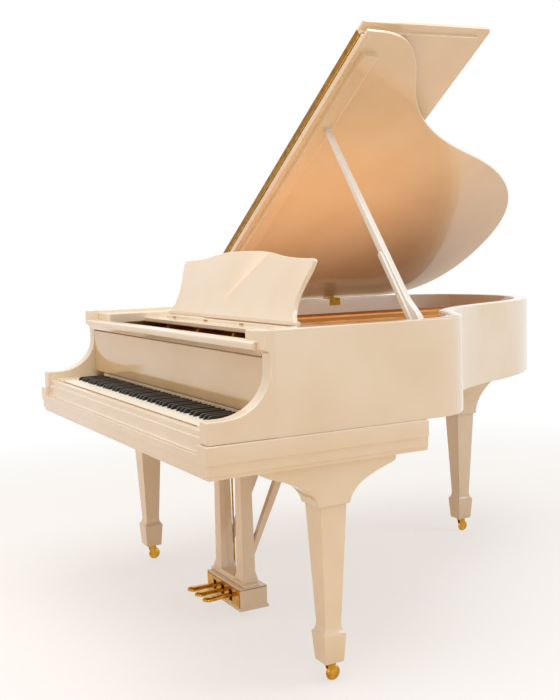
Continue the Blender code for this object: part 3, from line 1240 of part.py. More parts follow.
lid_top = LID_THICK * 2 + SEAT + 2 * FOLD_BARREL
left_reach = HINGE_X - (HALF + LID_OVERHANG + HINGE_X) * cos(LID_ANGLE)
left_reach -= (lid_top + (FOLD_Y - FLAP_FRONT_Y) * sin(FLAP_TILT)) * sin(LID_ANGLE)
right_reach = HALF + BAND_PROUD[0]
middle_x = (left_reach + right_reach) / 2
middle_y = (CASE_LENGTH + LID_OVERHANG - BAND_PROUD[0]) / 2
case = Frame("piano_body", (-middle_x, -middle_y, 0))

rim_pieces()
moulding_pieces()
front_pieces()
fallboard_piece()
keyboard_pieces()
sound_pieces()
lid_pieces()
prop_pieces()
shelf_pieces()
leg_pieces()
lyre_pieces()
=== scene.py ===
"""Looks of an ivory grand piano that stands open on its long prop.

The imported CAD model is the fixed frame. Every visible piece is built here as a surface worked
out with numpy, or is a CAD node with its own finish, and rides on the CAD body it belongs to.
Shapes are worked out in millimetres in the case's own axes: X = 0 on the case's centre line,
Y = 0 on the front faces of its arms, Z = 0 on the floor. The studio is in metres.
"""

import logging
import math
from collections.abc import Sequence
from dataclasses import dataclass, field
from enum import Enum

import bmesh
import bpy
import numpy as np
from mathutils import Matrix, Vector


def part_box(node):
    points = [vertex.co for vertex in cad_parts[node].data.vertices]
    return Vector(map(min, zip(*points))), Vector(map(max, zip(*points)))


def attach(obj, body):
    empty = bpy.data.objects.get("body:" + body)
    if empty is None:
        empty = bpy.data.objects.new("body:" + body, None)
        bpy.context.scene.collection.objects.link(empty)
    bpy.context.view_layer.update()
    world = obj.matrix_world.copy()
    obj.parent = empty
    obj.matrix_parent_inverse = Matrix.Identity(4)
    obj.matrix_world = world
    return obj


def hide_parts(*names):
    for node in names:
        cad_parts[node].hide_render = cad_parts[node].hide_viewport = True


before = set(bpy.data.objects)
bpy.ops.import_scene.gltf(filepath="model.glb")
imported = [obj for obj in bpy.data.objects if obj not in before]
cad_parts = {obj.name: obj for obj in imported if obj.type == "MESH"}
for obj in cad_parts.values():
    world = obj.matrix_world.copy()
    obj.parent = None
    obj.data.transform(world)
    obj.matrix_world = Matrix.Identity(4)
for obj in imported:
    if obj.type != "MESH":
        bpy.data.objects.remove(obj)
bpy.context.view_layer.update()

LOG = logging.getLogger("grand_piano")
Array = np.ndarray
Points = Sequence[Sequence[float]]
Socket = bpy.types.NodeSocket
SHARP_ANGLE = math.radians(20.0)
SEAT = 0.3

RIM = 1000 * np.array(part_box("outer_rim"))
ORIGIN = np.array(((RIM[0, 0] + RIM[1, 0]) / 2, RIM[0, 1], 0.0))
HALF = (RIM[1, 0] - RIM[0, 0]) / 2
CASE_LENGTH = RIM[1, 1] - RIM[0, 1]
RIM_BOTTOM, RIM_TOP = RIM[:, 2]
WALL = 49.0


def box(node: str) -> Array:
    """The lowest and highest corner of a CAD node at rest, in the case's axes."""
    return 1000 * np.array(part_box(node)) - ORIGIN


class Body(str, Enum):
    """The CAD bodies that pieces ride on."""

    CASE = "case"
    LID = "lid"
    FLAP = "flap"
    PROP = "long_prop"
    SHORT_PROP = "short_stick"
    SHELF = "shelf"
    DESK = "desk"
    STRUT = "strut"
    FALLBOARD = "fall"
    KEY_FRAME = "key_frame"
    DAMPERS = "dampers"


class Slot(str, Enum):
    """The record's material slots."""

    IVORY = "ivory_lacquer"
    BRASS = "brass"
    MAPLE = "maple"
    IRON = "gold_iron"
    KEY_WHITE = "key_white"
    KEY_BLACK = "key_black"


# Shapes worked out as arrays


@dataclass
class Shape:
    """A surface in the making: its points and its faces."""

    points: Array
    faces: list[list[int]]

    def turned(self, matrix: Matrix) -> "Shape":
        """The same shape carried by a rigid transform."""
        m = np.array(matrix)
        return Shape(self.points @ m[:3, :3].T + m[:3, 3], self.faces)

    def mirrored(self) -> "Shape":
        """The shape's mirror image over the case's centre line."""
        return Shape(self.points * (-1.0, 1.0, 1.0), [face[::-1] for face in self.faces])


def joined(*shapes: Shape) -> Shape:
    """Several shapes as one, each keeping its own shell."""
    starts = np.cumsum([0] + [len(shape.points) for shape in shapes])
    faces = [[index + int(start) for index in face]
             for shape, start in zip(shapes, starts) for face in shape.faces]
    return Shape(np.vstack([shape.points for shape in shapes]), faces)


def lofts(points: Array) -> Shape:
    """Many skins at once, each over a stack of rings and capped at both ends.

    Args:
        points: an array of shape (skins, rings, points of a ring, 3).

    Returns:
        One shape that holds every skin.
    """
    count, size = points.shape[1:3]
    i, j = np.meshgrid(np.arange(count - 1), np.arange(size), indexing="ij")
    here, beside = i * size + j, i * size + (j + 1) % size
    quads = np.stack((here, beside, beside + size, here + size), axis=-1).reshape(-1, 4).tolist()
    ends = [list(range(size))[::-1], list(range((count - 1) * size, count * size))]
    faces = [[index + number * count * size for index in face]
             for number in range(len(points)) for face in quads + ends]
    return Shape(points.reshape(-1, 3), faces)


def loft(rings: Sequence[Array]) -> Shape:
    """A skin over a stack of rings, each an array of points (n, 3)."""
    return lofts(np.array(rings)[None])


def inset_loop(loop: Array, distance: float) -> Array:
    """A closed outline moved inwards: each edge moves by the distance along its own normal.

    A corner goes to where its two moved edges cross, so walls stay parallel to themselves.

    Args:
        loop: points (n, 2), anticlockwise.
        distance: how far the edges move.

    Returns:
        The moved points (n, 2).
    """
    along = np.roll(loop, -1, axis=0) - loop
    length = np.maximum(np.linalg.norm(along, axis=1, keepdims=True), 1e-9)
    normal = np.stack((-along[:, 1], along[:, 0]), axis=1) / length
    before = np.roll(normal, 1, axis=0)
    cross = (before[:, 0] * normal[:, 1] - before[:, 1] * normal[:, 0])[:, None]
    straight = np.abs(cross) < 0.02
    corner = np.stack((normal[:, 1] - before[:, 1], before[:, 0] - normal[:, 0]), axis=1)
    middle = before + normal
    middle /= np.linalg.norm(middle, axis=1, keepdims=True)
    return loop + distance * np.where(straight, middle, corner / np.where(straight, 1.0, cross))


def board(loop: Points, low: float, high: float, radius: float) -> Shape:
    """A flat board with rounded arrises: its outline, inset by r(1 - sin a) at height r(1 - cos a).

    Args:
        loop: the board's outline (n, 2).
        low: its lower face.
        high: its upper face.
        radius: the arris radius.

    Returns:
        A closed shape, drawn in X and Y and standing along Z.
    """
    loop = np.asarray(loop, dtype=float)
    x, y = loop.T
    if np.sum(x * np.roll(y, -1) - np.roll(x, -1) * y) < 0:
        loop = loop[::-1]
    turn = np.linspace(0.0, math.pi / 2, 3)
    insets = np.concatenate((1 - np.sin(turn), 1 - np.cos(turn))) * radius
    heights = np.concatenate((low + radius * (1 - np.cos(turn)),
                              high - radius * (1 - np.sin(turn))))
    return loft([np.insert(inset_loop(loop, inset), 2, height, axis=1)
                 for inset, height in zip(insets, heights)])


SIDEWAYS = Matrix(((0, 0, 1, 0), (1, 0, 0, 0), (0, 1, 0, 0), (0, 0, 0, 1)))
UPRIGHT = Matrix(((1, 0, 0, 0), (0, 0, -1, 0), (0, 1, 0, 0), (0, 0, 0, 1)))


def side_board(loop: Points, low: float, high: float, radius: float) -> Shape:
    """A board drawn as (y, z) points, from x = low to x = high."""
    return board(loop, low, high, radius).turned(SIDEWAYS)


def front_board(loop: Points, low: float, high: float, radius: float) -> Shape:
    """A board drawn as (x, z) points, from y = low to y = high."""
    return board(loop, -high, -low, radius).turned(UPRIGHT)


def block(low: Sequence[float], high: Sequence[float], radius: float) -> Shape:
    """A box with rounded arrises between two opposite corners."""
    (x0, x1), (y0, y1), (z0, z1) = np.sort(np.array((low, high), dtype=float), axis=0).T
    return board(((x0, y0), (x1, y0), (x1, y1), (x0, y1)), z0, z1, radius)


def arc(centre: Sequence[float], radii: float | Sequence[float], start: float, end: float,
        count: int) -> Array:
    """Points of an elliptical arc: centre + (a cos t, b sin t), with t in degrees."""
    t = np.radians(np.linspace(start, end, count))
    return np.column_stack((np.cos(t), np.sin(t))) * radii + centre


def bezier(corners: Points, count: int, skip: int = 0) -> Array:
    """Points of a cubic curve: sum of B_k(t) times corner k, without the first few."""
    t = np.linspace(0.0, 1.0, count)[skip:, None]
    a, b, c, d = (np.array(corner, dtype=float) for corner in corners)
    return (1 - t) ** 3 * a + 3 * t * (1 - t) ** 2 * b + 3 * t * t * (1 - t) * c + t ** 3 * d


def eased(corners: Points, sizes: float | Sequence[float], count: int = 4) -> Array:
    """A closed outline with its corners eased, each by a quadratic curve between its two sides.

    Args:
        corners: the outline's corners.
        sizes: how far from each corner the curve starts, 0 for a sharp one.
        count: points on each curve.

    Returns:
        The eased outline, without doubled points.
    """
    loop = np.asarray(corners, dtype=float)
    t = np.linspace(0.0, 1.0, count)[None, :, None]
    ends = []
    for other in (np.roll(loop, 1, axis=0), np.roll(loop, -1, axis=0)):
        run = other - loop
        length = np.linalg.norm(run, axis=1)
        ends.append(loop + run * (np.minimum(sizes, length * 0.49) / length)[:, None])
    points = ((1 - t) ** 2 * ends[0][:, None] + 2 * t * (1 - t) * loop[:, None]
              + t ** 2 * ends[1][:, None]).reshape(-1, 2)
    apart = np.linalg.norm(points - np.roll(points, 1, axis=0), axis=1)
    return points[apart > 1e-4]


def outward(points: Array) -> Array:
    """Unit normals that point out of the case, for points of its plan in their order."""
    run = np.vstack((points[1:2] - points[:1], points[2:] - points[:-2],
                     points[-1:] - points[-2:-1]))
    run /= np.linalg.norm(run, axis=1, keepdims=True)
    return np.column_stack((run[:, 1], -run[:, 0]))


def carried(profile: Array, places: Array) -> Shape:
    """A profile of (offset, height) points carried along a plan curve.

    Point (i, j) is place i + offset j along outward normal i, at height j.

    Args:
        profile: the closed profile (m, 2).
        places: plan points (n, 2).

    Returns:
        A closed shape.
    """
    xy = places[:, None, :] + outward(places)[:, None, :] * profile[None, :, :1]
    z = np.broadcast_to(profile[None, :, 1:], (len(places), len(profile), 1))
    return loft(np.concatenate((xy, z), axis=2))


def extruded(profile: Array, low: float, high: float, axis: str = "X") -> Shape:
    """A profile of (y, z) points for X, or (x, z) points for Y, carried along that axis."""
    return loft([np.insert(profile, "XY".index(axis), place, axis=1) for place in (low, high)])


def turned_shape(profile: Points, sides: int, centre: Sequence[float], axis: str = "Z") -> Shape:
    """A turned solid: each (radius, height) point goes round the axis.

    Args:
        profile: (radius, height) points from one end to the other, radius 0 at neither.
        sides: points round the axis.
        centre: where the axis's zero height lies.
        axis: X, Y or Z.

    Returns:
        A closed shape.
    """
    rings = np.array([np.insert(arc((0, 0), radius, 0, 360, sides + 1)[:-1], 2, height, axis=1)
                      for radius, height in profile])
    order = {"X": (2, 0, 1), "Y": (1, 2, 0), "Z": (0, 1, 2)}[axis]
    return loft(rings[..., order] + np.array(centre, dtype=float))


def rods(starts: Points, ends: Points, radius: float, sides: int) -> Shape:
    """Many straight round rods at once: start + r(cos a u + sin a v), and the same at the end.

    Args:
        starts: one point, or points (n, 3).
        ends: as many points.
        radius: the rods' radius.
        sides: points round a rod.

    Returns:
        One shape that holds every rod.
    """
    starts, ends = np.atleast_2d(starts).astype(float), np.atleast_2d(ends).astype(float)
    axis = ends - starts
    axis /= np.linalg.norm(axis, axis=1, keepdims=True)
    u = np.cross(axis, np.where(np.abs(axis[:, 2:]) < 0.9, (0.0, 0.0, 1.0), (1.0, 0.0, 0.0)))
    u /= np.linalg.norm(u, axis=1, keepdims=True)
    v = np.cross(axis, u)
    a = np.linspace(0.0, 2 * math.pi, sides, endpoint=False)[None, :, None]
    ring = radius * (np.cos(a) * u[:, None] + np.sin(a) * v[:, None])
    return lofts(np.stack((starts[:, None] + ring, ends[:, None] + ring), axis=1))


def lumps(lows: Array, highs: Array, arris: float) -> Shape:
    """Many small blocks at once, each with chamfered arrises, for what repeats by the hundred.

    A block is four rings: its outline inset by the arris, the full outline twice, and inset again.

    Args:
        lows: lowest corners (n, 3).
        highs: highest corners (n, 3).
        arris: the chamfer's width.

    Returns:
        One shape that holds every block.
    """
    inset = np.array((arris, 0.0, 0.0, arris))[None, :, None]
    (x0, y0, z0), (x1, y1, z1) = (np.moveaxis(ends[:, None] + sign * inset, -1, 0)
                                  for ends, sign in ((lows, 1), (highs, -1)))
    x, y = np.stack((x0, x1, x1, x0), axis=-1), np.stack((y0, y0, y1, y1), axis=-1)
    rise = np.stack((z0[:, 1], z0[:, 0], z1[:, 0], z1[:, 1]), axis=1)
    z = np.broadcast_to(rise[..., None], x.shape)
    return lofts(np.stack((x, y, z), axis=-1))


def screw_heads(places: Points, radius: float, rise: float) -> Shape:
    """Domed screw heads that face up, as one shape, at the centres of their seats."""
    dome = np.vstack(((radius, -0.2 * rise), arc((0, 0), (radius, rise), 0, 60, 3),
                      (radius * 0.2, rise)))
    return joined(*(turned_shape(dome, 12, place) for place in places))


def square_post(profile: Points, corner: float, x: float, y: float) -> Shape:
    """A square post at (x, y): (half width, height) points stacked up, its corners rounded."""
    signs = np.array(((1, 1), (-1, 1), (-1, -1), (1, -1)))
    return loft([np.insert(np.vstack([
        arc((half - corner) * sign + (x, y), corner, 90 * turn, 90 * turn + 90, 3)
        for turn, sign in enumerate(signs)]), 2, z, axis=1) for half, z in profile])


# Finishes


def linear(hex_colour: str) -> tuple[float, float, float, float]:
    """An sRGB hex colour such as "#E8DCC4" as linear red, green, blue and an alpha of 1."""
    values = [int(hex_colour[i:i + 2], 16) / 255 for i in (1, 3, 5)]
    return (*(v / 12.92 if v <= 0.04045 else ((v + 0.055) / 1.055) ** 2.4 for v in values), 1.0)


class Nodes:
    """A node tree while it is being laid out."""

    def __init__(self, owner: bpy.types.Material | bpy.types.World) -> None:
        """Start with the tree of a material or a world."""
        owner.use_nodes = True
        self.tree = owner.node_tree

    def add(self, kind: str, settings: dict | None = None, **inputs: object) -> bpy.types.Node:
        """Add a node, set it up, and fill or link its inputs.

        Args:
            kind: the node's type, without ShaderNode.
            settings: its properties.
            inputs: a value or an output socket for each input, spaces written as underscores.

        Returns:
            The node.
        """
        node = self.tree.nodes.new(f"ShaderNode{kind}")
        for key, value in (settings or {}).items():
            setattr(node, key, value)
        self.feed(node, {key.replace("_", " "): value for key, value in inputs.items()})
        return node

    def feed(self, node: bpy.types.Node, inputs: dict[str | int, object]) -> None:
        """Set or link inputs of a node, by name or number."""
        for key, value in inputs.items():
            if isinstance(value, Socket):
                self.tree.links.new(value, node.inputs[key])
            else:
                node.inputs[key].default_value = value

    def surface(self, **inputs: object) -> bpy.types.Node:
        """Set or link inputs of the Principled shader, spaces written as underscores."""
        shader = self.tree.nodes["Principled BSDF"]
        self.feed(shader, {key.replace("_", " "): value for key, value in inputs.items()})
        return shader

    def place(self) -> Socket:
        """Object coordinates, in metres."""
        return self.add("TexCoord").outputs["Object"]

    def noise(self, size: float, detail: float = 3.0, stretch: Sequence[float] = (1, 1, 1),
              turn: float = 0.0, roughness: float = 0.5) -> Socket:
        """Noise whose features are about a real size across.

        Args:
            size: the features' size in millimetres.
            detail: finer layers.
            stretch: how much longer features are along X, Y and Z.
            turn: the pattern's turn about Z.
            roughness: how strong the finer layers are.

        Returns:
            The noise's Fac output.
        """
        mapping = self.add("Mapping", {"vector_type": "TEXTURE"}, Vector=self.place(),
                           Scale=tuple(stretch), Rotation=(0.0, 0.0, turn))
        return self.add("TexNoise", Vector=mapping.outputs["Vector"], Scale=1000 / size,
                        Detail=detail, Roughness=roughness).outputs["Fac"]

    def blend(self, fac: object, first: object, second: object) -> Socket:
        """One colour, giving way to a second one as fac rises."""
        node = self.add("Mix", {"data_type": "RGBA"})
        self.feed(node, {0: fac, 6: first, 7: second})
        return node.outputs[2]

    def spread(self, value: object, low: float, high: float, out_low: float,
               out_high: float) -> Socket:
        """Map a value from one range to another, clamped."""
        node = self.add("MapRange")
        self.feed(node, dict(enumerate((value, low, high, out_low, out_high))))
        return node.outputs["Result"]

    def bump(self, height: object, depth: float, strength: float = 1.0) -> Socket:
        """A bump whose full height is a real depth in millimetres."""
        return self.add("Bump", Height=height, Distance=depth / 1000,
                        Strength=strength).outputs["Normal"]

    def seen(self) -> Socket:
        """1 where the camera or a polished surface looks, 0 where light is only thrown back."""
        path = self.add("LightPath").outputs
        either = self.add("Math", {"operation": "MAXIMUM"})
        self.feed(either, {0: path["Is Camera Ray"], 1: path["Is Glossy Ray"]})
        return either.outputs[0]


@dataclass(frozen=True)
class Finish:
    """What every finish has: a name, a colour, a second shade of it, and the record's slot."""

    name: str
    colour: str
    shade: str
    slot: Slot | None = None
    roughness: float = 0.25

    def made(self) -> bpy.types.Material:
        """The finish as a material."""
        material = bpy.data.materials.new(self.name)
        self.lay(Nodes(material), linear(self.colour), linear(self.shade))
        return material

    def lay(self, nodes: Nodes, colour: Sequence[float], shade: Sequence[float]) -> None:
        """Lay out the nodes, from the two shades in linear light."""
        raise NotImplementedError


@dataclass(frozen=True)
class Lacquer(Finish):
    """Polished polyester lacquer over wood: a deep even colour under a hard clear coat.

    The eye sees a soft body colour, a sharp reflection, a slow waviness left by buffing, and
    faint yellowing from place to place.
    """

    roughness: float = 0.15

    def lay(self, nodes: Nodes, colour: Sequence[float], shade: Sequence[float]) -> None:
        """Yellowing over 260 mm, buffing waves of 60 mm, and a haze of 18 mm in the roughness."""
        mottle = nodes.spread(nodes.noise(260, 2.0), 0.35, 0.65, 0.0, 1.0)
        haze = nodes.spread(nodes.noise(18, 4.0), 0.3, 0.7, self.roughness - 0.03,
                            self.roughness + 0.04)
        nodes.surface(Base_Color=nodes.blend(mottle, colour, shade), Roughness=haze,
                      Coat_Weight=0.6, Coat_Roughness=0.06, IOR=1.5,
                      Normal=nodes.bump(nodes.noise(60, 2.0), 0.05))


@dataclass(frozen=True)
class PolishedBrass(Finish):
    """Brass that was cast, polished and lacquered: a yellow metal, browner where hands miss it."""

    roughness: float = 0.18

    def lay(self, nodes: Nodes, colour: Sequence[float], shade: Sequence[float]) -> None:
        """Tarnish in patches of 22 mm, duller there, and fine brushing along X."""
        patch = nodes.spread(nodes.noise(22, 5.0, roughness=0.6), 0.42, 0.72, 0.0, 0.8)
        nodes.surface(Base_Color=nodes.blend(patch, colour, shade), Metallic=1.0,
                      Roughness=nodes.spread(patch, 0.0, 1.0, self.roughness,
                                             self.roughness + 0.18),
                      Normal=nodes.bump(nodes.noise(0.6, 2.0, stretch=(30, 1, 1)), 0.01, 0.4))


@dataclass(frozen=True)
class BronzedIron(Finish):
    """Cast iron sprayed with gold bronze paint: sand-cast grain under fine metal flake."""

    flake: str = "#F0C070"

    def lay(self, nodes: Nodes, colour: Sequence[float], shade: Sequence[float]) -> None:
        """Grain of 1.6 mm under flake of 0.9 mm, drawn coarser than life so that it shows."""
        grain = nodes.noise(1.6, 4.0, roughness=0.6)
        flake = nodes.add("TexVoronoi", Vector=nodes.place(), Scale=1000 / 0.9)
        base = nodes.blend(nodes.spread(nodes.noise(140, 3.0), 0.3, 0.7, 0.0, 1.0), colour, shade)
        speck = nodes.spread(flake.outputs["Distance"], 0.0, 0.6, 0.25, 0.0)
        nodes.surface(Base_Color=nodes.blend(speck, base, linear(self.flake)), Metallic=0.55,
                      Roughness=nodes.spread(grain, 0.3, 0.7, 0.34, 0.5),
                      Normal=nodes.bump(grain, 0.15, 0.5))


@dataclass(frozen=True)
class SawnWood(Finish):
    """Planed and varnished wood: long grain lines, darker late growth and fine pores."""

    roughness: float = 0.42
    ring: float = 9.0
    turn: float = 0.0

    def lay(self, nodes: Nodes, colour: Sequence[float], shade: Sequence[float]) -> None:
        """Growth rings of a real width and fibres of 1.2 mm, 40 times as long along Y."""
        grain = {"stretch": (1, 40, 1), "turn": self.turn}
        band = nodes.spread(nodes.noise(self.ring * 2, 4.0, roughness=0.6, **grain),
                            0.38, 0.62, 0.0, 1.0)
        fibre = nodes.noise(1.2, 2.0, **grain)
        flecked = nodes.blend(nodes.spread(fibre, 0.5, 0.75, 0.0, 0.35),
                              nodes.blend(band, colour, shade), shade)
        nodes.surface(Base_Color=flecked, Roughness=self.roughness, Coat_Weight=0.15,
                      Coat_Roughness=0.2, Normal=nodes.bump(fibre, 0.06, 0.5))


@dataclass(frozen=True)
class MouldedResin(Finish):
    """Moulded acrylic or phenolic resin, buffed: an even colour with faint clouding."""

    def lay(self, nodes: Nodes, colour: Sequence[float], shade: Sequence[float]) -> None:
        """Clouds of 30 mm, longer along Y, and finger marks of 5 mm in the roughness."""
        cloud = nodes.spread(nodes.noise(30, 3.0, stretch=(1, 4, 1)), 0.3, 0.7, 0.0, 1.0)
        touch = nodes.noise(5, 4.0)
        nodes.surface(Base_Color=nodes.blend(cloud, colour, shade),
                      Roughness=nodes.spread(touch, 0.3, 0.7, self.roughness,
                                             self.roughness + 0.12),
                      Normal=nodes.bump(touch, 0.02, 0.3))


@dataclass(frozen=True)
class PressedFelt(Finish):
    """Pressed wool felt: a matt nap of short crossed fibres with a soft sheen."""

    roughness: float = 0.95

    def lay(self, nodes: Nodes, colour: Sequence[float], shade: Sequence[float]) -> None:
        """A nap of 1.1 mm, in the colour and in the bump."""
        nap = nodes.noise(1.1, 5.0, roughness=0.7)
        nodes.surface(Base_Color=nodes.blend(nodes.spread(nap, 0.3, 0.7, 0.0, 1.0), colour, shade),
                      Roughness=self.roughness, Sheen_Weight=0.4, Sheen_Roughness=0.5,
                      Normal=nodes.bump(nap, 0.4, 0.8))


@dataclass(frozen=True)
class DrawnWire(Finish):
    """Drawn wire, plain steel or wound with copper: fine rings across its length."""

    roughness: float = 0.3

    def lay(self, nodes: Nodes, colour: Sequence[float], shade: Sequence[float]) -> None:
        """Windings of 2 mm, drawn coarser than life so that they show."""
        wave = nodes.add("TexWave", {"bands_direction": "Y"}, Vector=nodes.place(),
                         Scale=1000 / (2.0 * 6.28), Distortion=0.5).outputs["Fac"]
        nodes.surface(Base_Color=nodes.blend(wave, colour, shade), Metallic=1.0,
                      Roughness=self.roughness, Normal=nodes.bump(wave, 0.05, 0.4))


class Look(Enum):
    """Every finish of the piano."""

    # Sprayed and buffed polyester: deep and glassy, a little uneven in colour.
    IVORY = Lacquer("ivory_polyester_lacquer", "#EFE3D0", "#EADBC3", Slot.IVORY)
    IVORY_LID = Lacquer("ivory_lid_lacquer", "#EFDDC2", "#EBD6B8", Slot.IVORY, 0.10)
    # Painted shade: the fallboard's lacquer is the case's ivory painted darker and warmer, for the
    # shade it lies in under the stretcher.
    IVORY_BOARD_SHADE = Lacquer("fallboard_lacquer_painted_shade", "#E0C9A2", "#DBC296", Slot.IVORY, 0.14)
    # Painted light: the props' lacquer is the case's ivory painted whiter, for the strong light
    # that falls on them.
    PROP_IVORY_LIT = Lacquer("prop_lacquer_painted_light", "#E9E6E0", "#E6E2DA", Slot.IVORY)
    # Brass: bright where it is cast and polished, duller as rolled sheet, and painted dark brown on
    # the flap's hinge leaf as painted shade beside the knuckles that catch the light.
    BRASS = PolishedBrass("polished_cast_brass", "#D9A441", "#9C6A1E", Slot.BRASS)
    DULL_BRASS = PolishedBrass("rolled_sheet_brass", "#B98A2E", "#7C5717", Slot.BRASS, 0.3)
    # Painted shade: the flap's hinge leaf is brass painted darker than its knuckles.
    SHADED_LEAF_BRASS = PolishedBrass("sheet_brass_painted_shade", "#9C7430", "#6A4A1C", Slot.BRASS, 0.36)
    # Sand-cast iron under bronze paint: an orange gold that glitters softly.
    IRON = BronzedIron("gold_bronzed_cast_iron", "#D08A3C", "#A8601F", Slot.IRON)
    # Planed wood: long grain, fine and even in spruce and lime, broad and faint in maple.
    SPRUCE = SawnWood("varnished_spruce_board", "#DDAF6C", "#B9803F", ring=3.5,
                      turn=math.radians(38))
    SPRUCE_BAR = SawnWood("planed_spruce_beam", "#D9B27A", "#B98B50", ring=4)
    MAPLE = SawnWood("planed_maple", "#D2AB78", "#B0834E", Slot.MAPLE)
    MAPLE_CROSS = SawnWood("planed_maple_across", "#C99F6A", "#A87C48", turn=math.pi / 2)
    # Buffed resin: milky acrylic with a soft gleam, and phenolic that passes for ebony.
    KEY_WHITE = MouldedResin("acrylic_key_top", "#F4F0E4", "#EFE9D8", Slot.KEY_WHITE)
    KEY_BLACK = MouldedResin("phenolic_sharp", "#17130F", "#241D17", Slot.KEY_BLACK, 0.32)
    KEY_WOOD = SawnWood("lime_wood_key_stick", "#D8BB8B", "#BE9B66", ring=3)
    # Pressed wool: matt, and fuzzy at its edges.
    RED_FELT = PressedFelt("red_wool_felt", "#7A1F1C", "#571412")
    WHITE_FELT = PressedFelt("white_wool_felt", "#E8E2D2", "#D2C9B4")
    # Drawn wire: the steel has the gold plate's reflection painted into its colour, warm instead of
    # grey; the copper keeps its own colour.
    STEEL_WIRE_PLATE_REFLECTION = DrawnWire("steel_wire_painted_plate_reflection", "#C79A62", "#94683A")
    COPPER_WIRE = DrawnWire("copper_wound_wire", "#C98552", "#7E4A2A", roughness=0.35)
    # Rubber is dull and even, and the dampers' lacquer a thin satin black.
    RUBBER = MouldedResin("moulded_black_rubber", "#1B1A19", "#262422", roughness=0.6)
    BLACK_LACQUER = Lacquer("black_damper_lacquer", "#15110E", "#1C1713", roughness=0.3)


@dataclass
class Workshop:
    """Turns shapes into pieces of the piano and keeps count of them."""

    made: int = 0
    materials: dict[Look, bpy.types.Material] = field(default_factory=dict)

    def finish(self, look: Look) -> bpy.types.Material:
        """The material of a finish, made once."""
        if look not in self.materials:
            self.materials[look] = look.value.made()
        return self.materials[look]

    def piece(self, name: str, shape: Shape, look: Look, body: str = Body.CASE,
              node: str = "") -> None:
        """Make one piece, at the origin, from a shape in the case's axes.

        Args:
            name: the piece's name.
            shape: its surface.
            look: its finish.
            body: the CAD body it rides on.
            node: the CAD node it stands for, if any.
        """
        mesh = bpy.data.meshes.new(name)
        mesh.from_pydata(((shape.points + ORIGIN) / 1000).tolist(), [], shape.faces)
        work = bmesh.new()
        work.from_mesh(mesh)
        bmesh.ops.recalc_face_normals(work, faces=work.faces)
        work.to_mesh(mesh)
        work.free()
        mesh.shade_smooth()
        mesh.set_sharp_from_angle(angle=SHARP_ANGLE)
        mesh.materials.append(self.finish(look))
        thing = bpy.data.objects.new(name, mesh)
        bpy.context.scene.collection.objects.link(thing)
        rides_on = body.value if isinstance(body, Body) else body
        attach(thing, rides_on)
        if node:
            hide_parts(node)
        self.made += 1
        LOG.info("piece %s on %s: %d points", name, rides_on, len(shape.points))

    def dress(self, node: str, look: Look) -> None:
        """Give a CAD node that stays in view its finish."""
        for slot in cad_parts[node].material_slots:
            slot.material = self.finish(look)


# Sub-assemblies


@dataclass
class CasePlan:
    """The case seen from above: straight treble side, bent side, round tail, straight spine."""

    straight_end: float = 720
    shoulder: tuple[float, float, float] = (560, 938, math.radians(151))
    waist: tuple[float, float, float] = (212, 1400, math.radians(111))
    crest_x: float = -330
    spine_end: float = 1520
    density: int = 22

    def path(self, inset: float, end: float) -> Array:
        """The plan from the treble side round the tail to the spine, moved in by an inset.

        The bends are cubic curves whose pulls lie along the tangents at shoulder, waist and crest.

        Args:
            inset: how far inside the case's outer face.
            end: Y of the first and the last point.

        Returns:
            Plan points (n, 2).
        """
        def away(point: Sequence[float], angle: float, reach: float) -> tuple[float, float]:
            """The point at a distance in a direction."""
            return point[0] + reach * math.cos(angle), point[1] + reach * math.sin(angle)

        knots = (((HALF, self.straight_end), math.pi / 2), (self.shoulder[:2], self.shoulder[2]),
                 (self.waist[:2], self.waist[2]), ((self.crest_x, CASE_LENGTH), math.pi),
                 ((-HALF, self.spine_end), -math.pi / 2))
        pulls = ((120, 100), (200, 240), (280, 280), (260, 220))
        curves = [(one, away(one, lean, out), away(two, slant, -back), two)
                  for (one, lean), (two, slant), (out, back) in zip(knots, knots[1:], pulls)]
        points = np.vstack(((HALF, end), knots[0][0],
                            *(bezier(curve, self.density, 1) for curve in curves), (-HALF, end)))
        return points - outward(points) * inset

    def back_at(self, x: Array, inset: float) -> Array:
        """How far back the plan, moved in by an inset, reaches at places across it."""
        path = self.path(inset, 0)[1:-1]
        order = np.argsort(path[:, 0])
        return np.interp(x, path[order, 0], path[order, 1])


PLAN = CasePlan()


@dataclass
class Assembly:
    """A part of the piano that is built in the workshop."""

    shop: Workshop

    def piece(self, name: str, shape: Shape, look: Look, body: str = Body.CASE,
              node: str = "") -> None:
        """Make one piece in the workshop."""
        self.shop.piece(name, shape, look, body, node)

    def build(self) -> None:
        """Build and dress every piece."""
        raise NotImplementedError


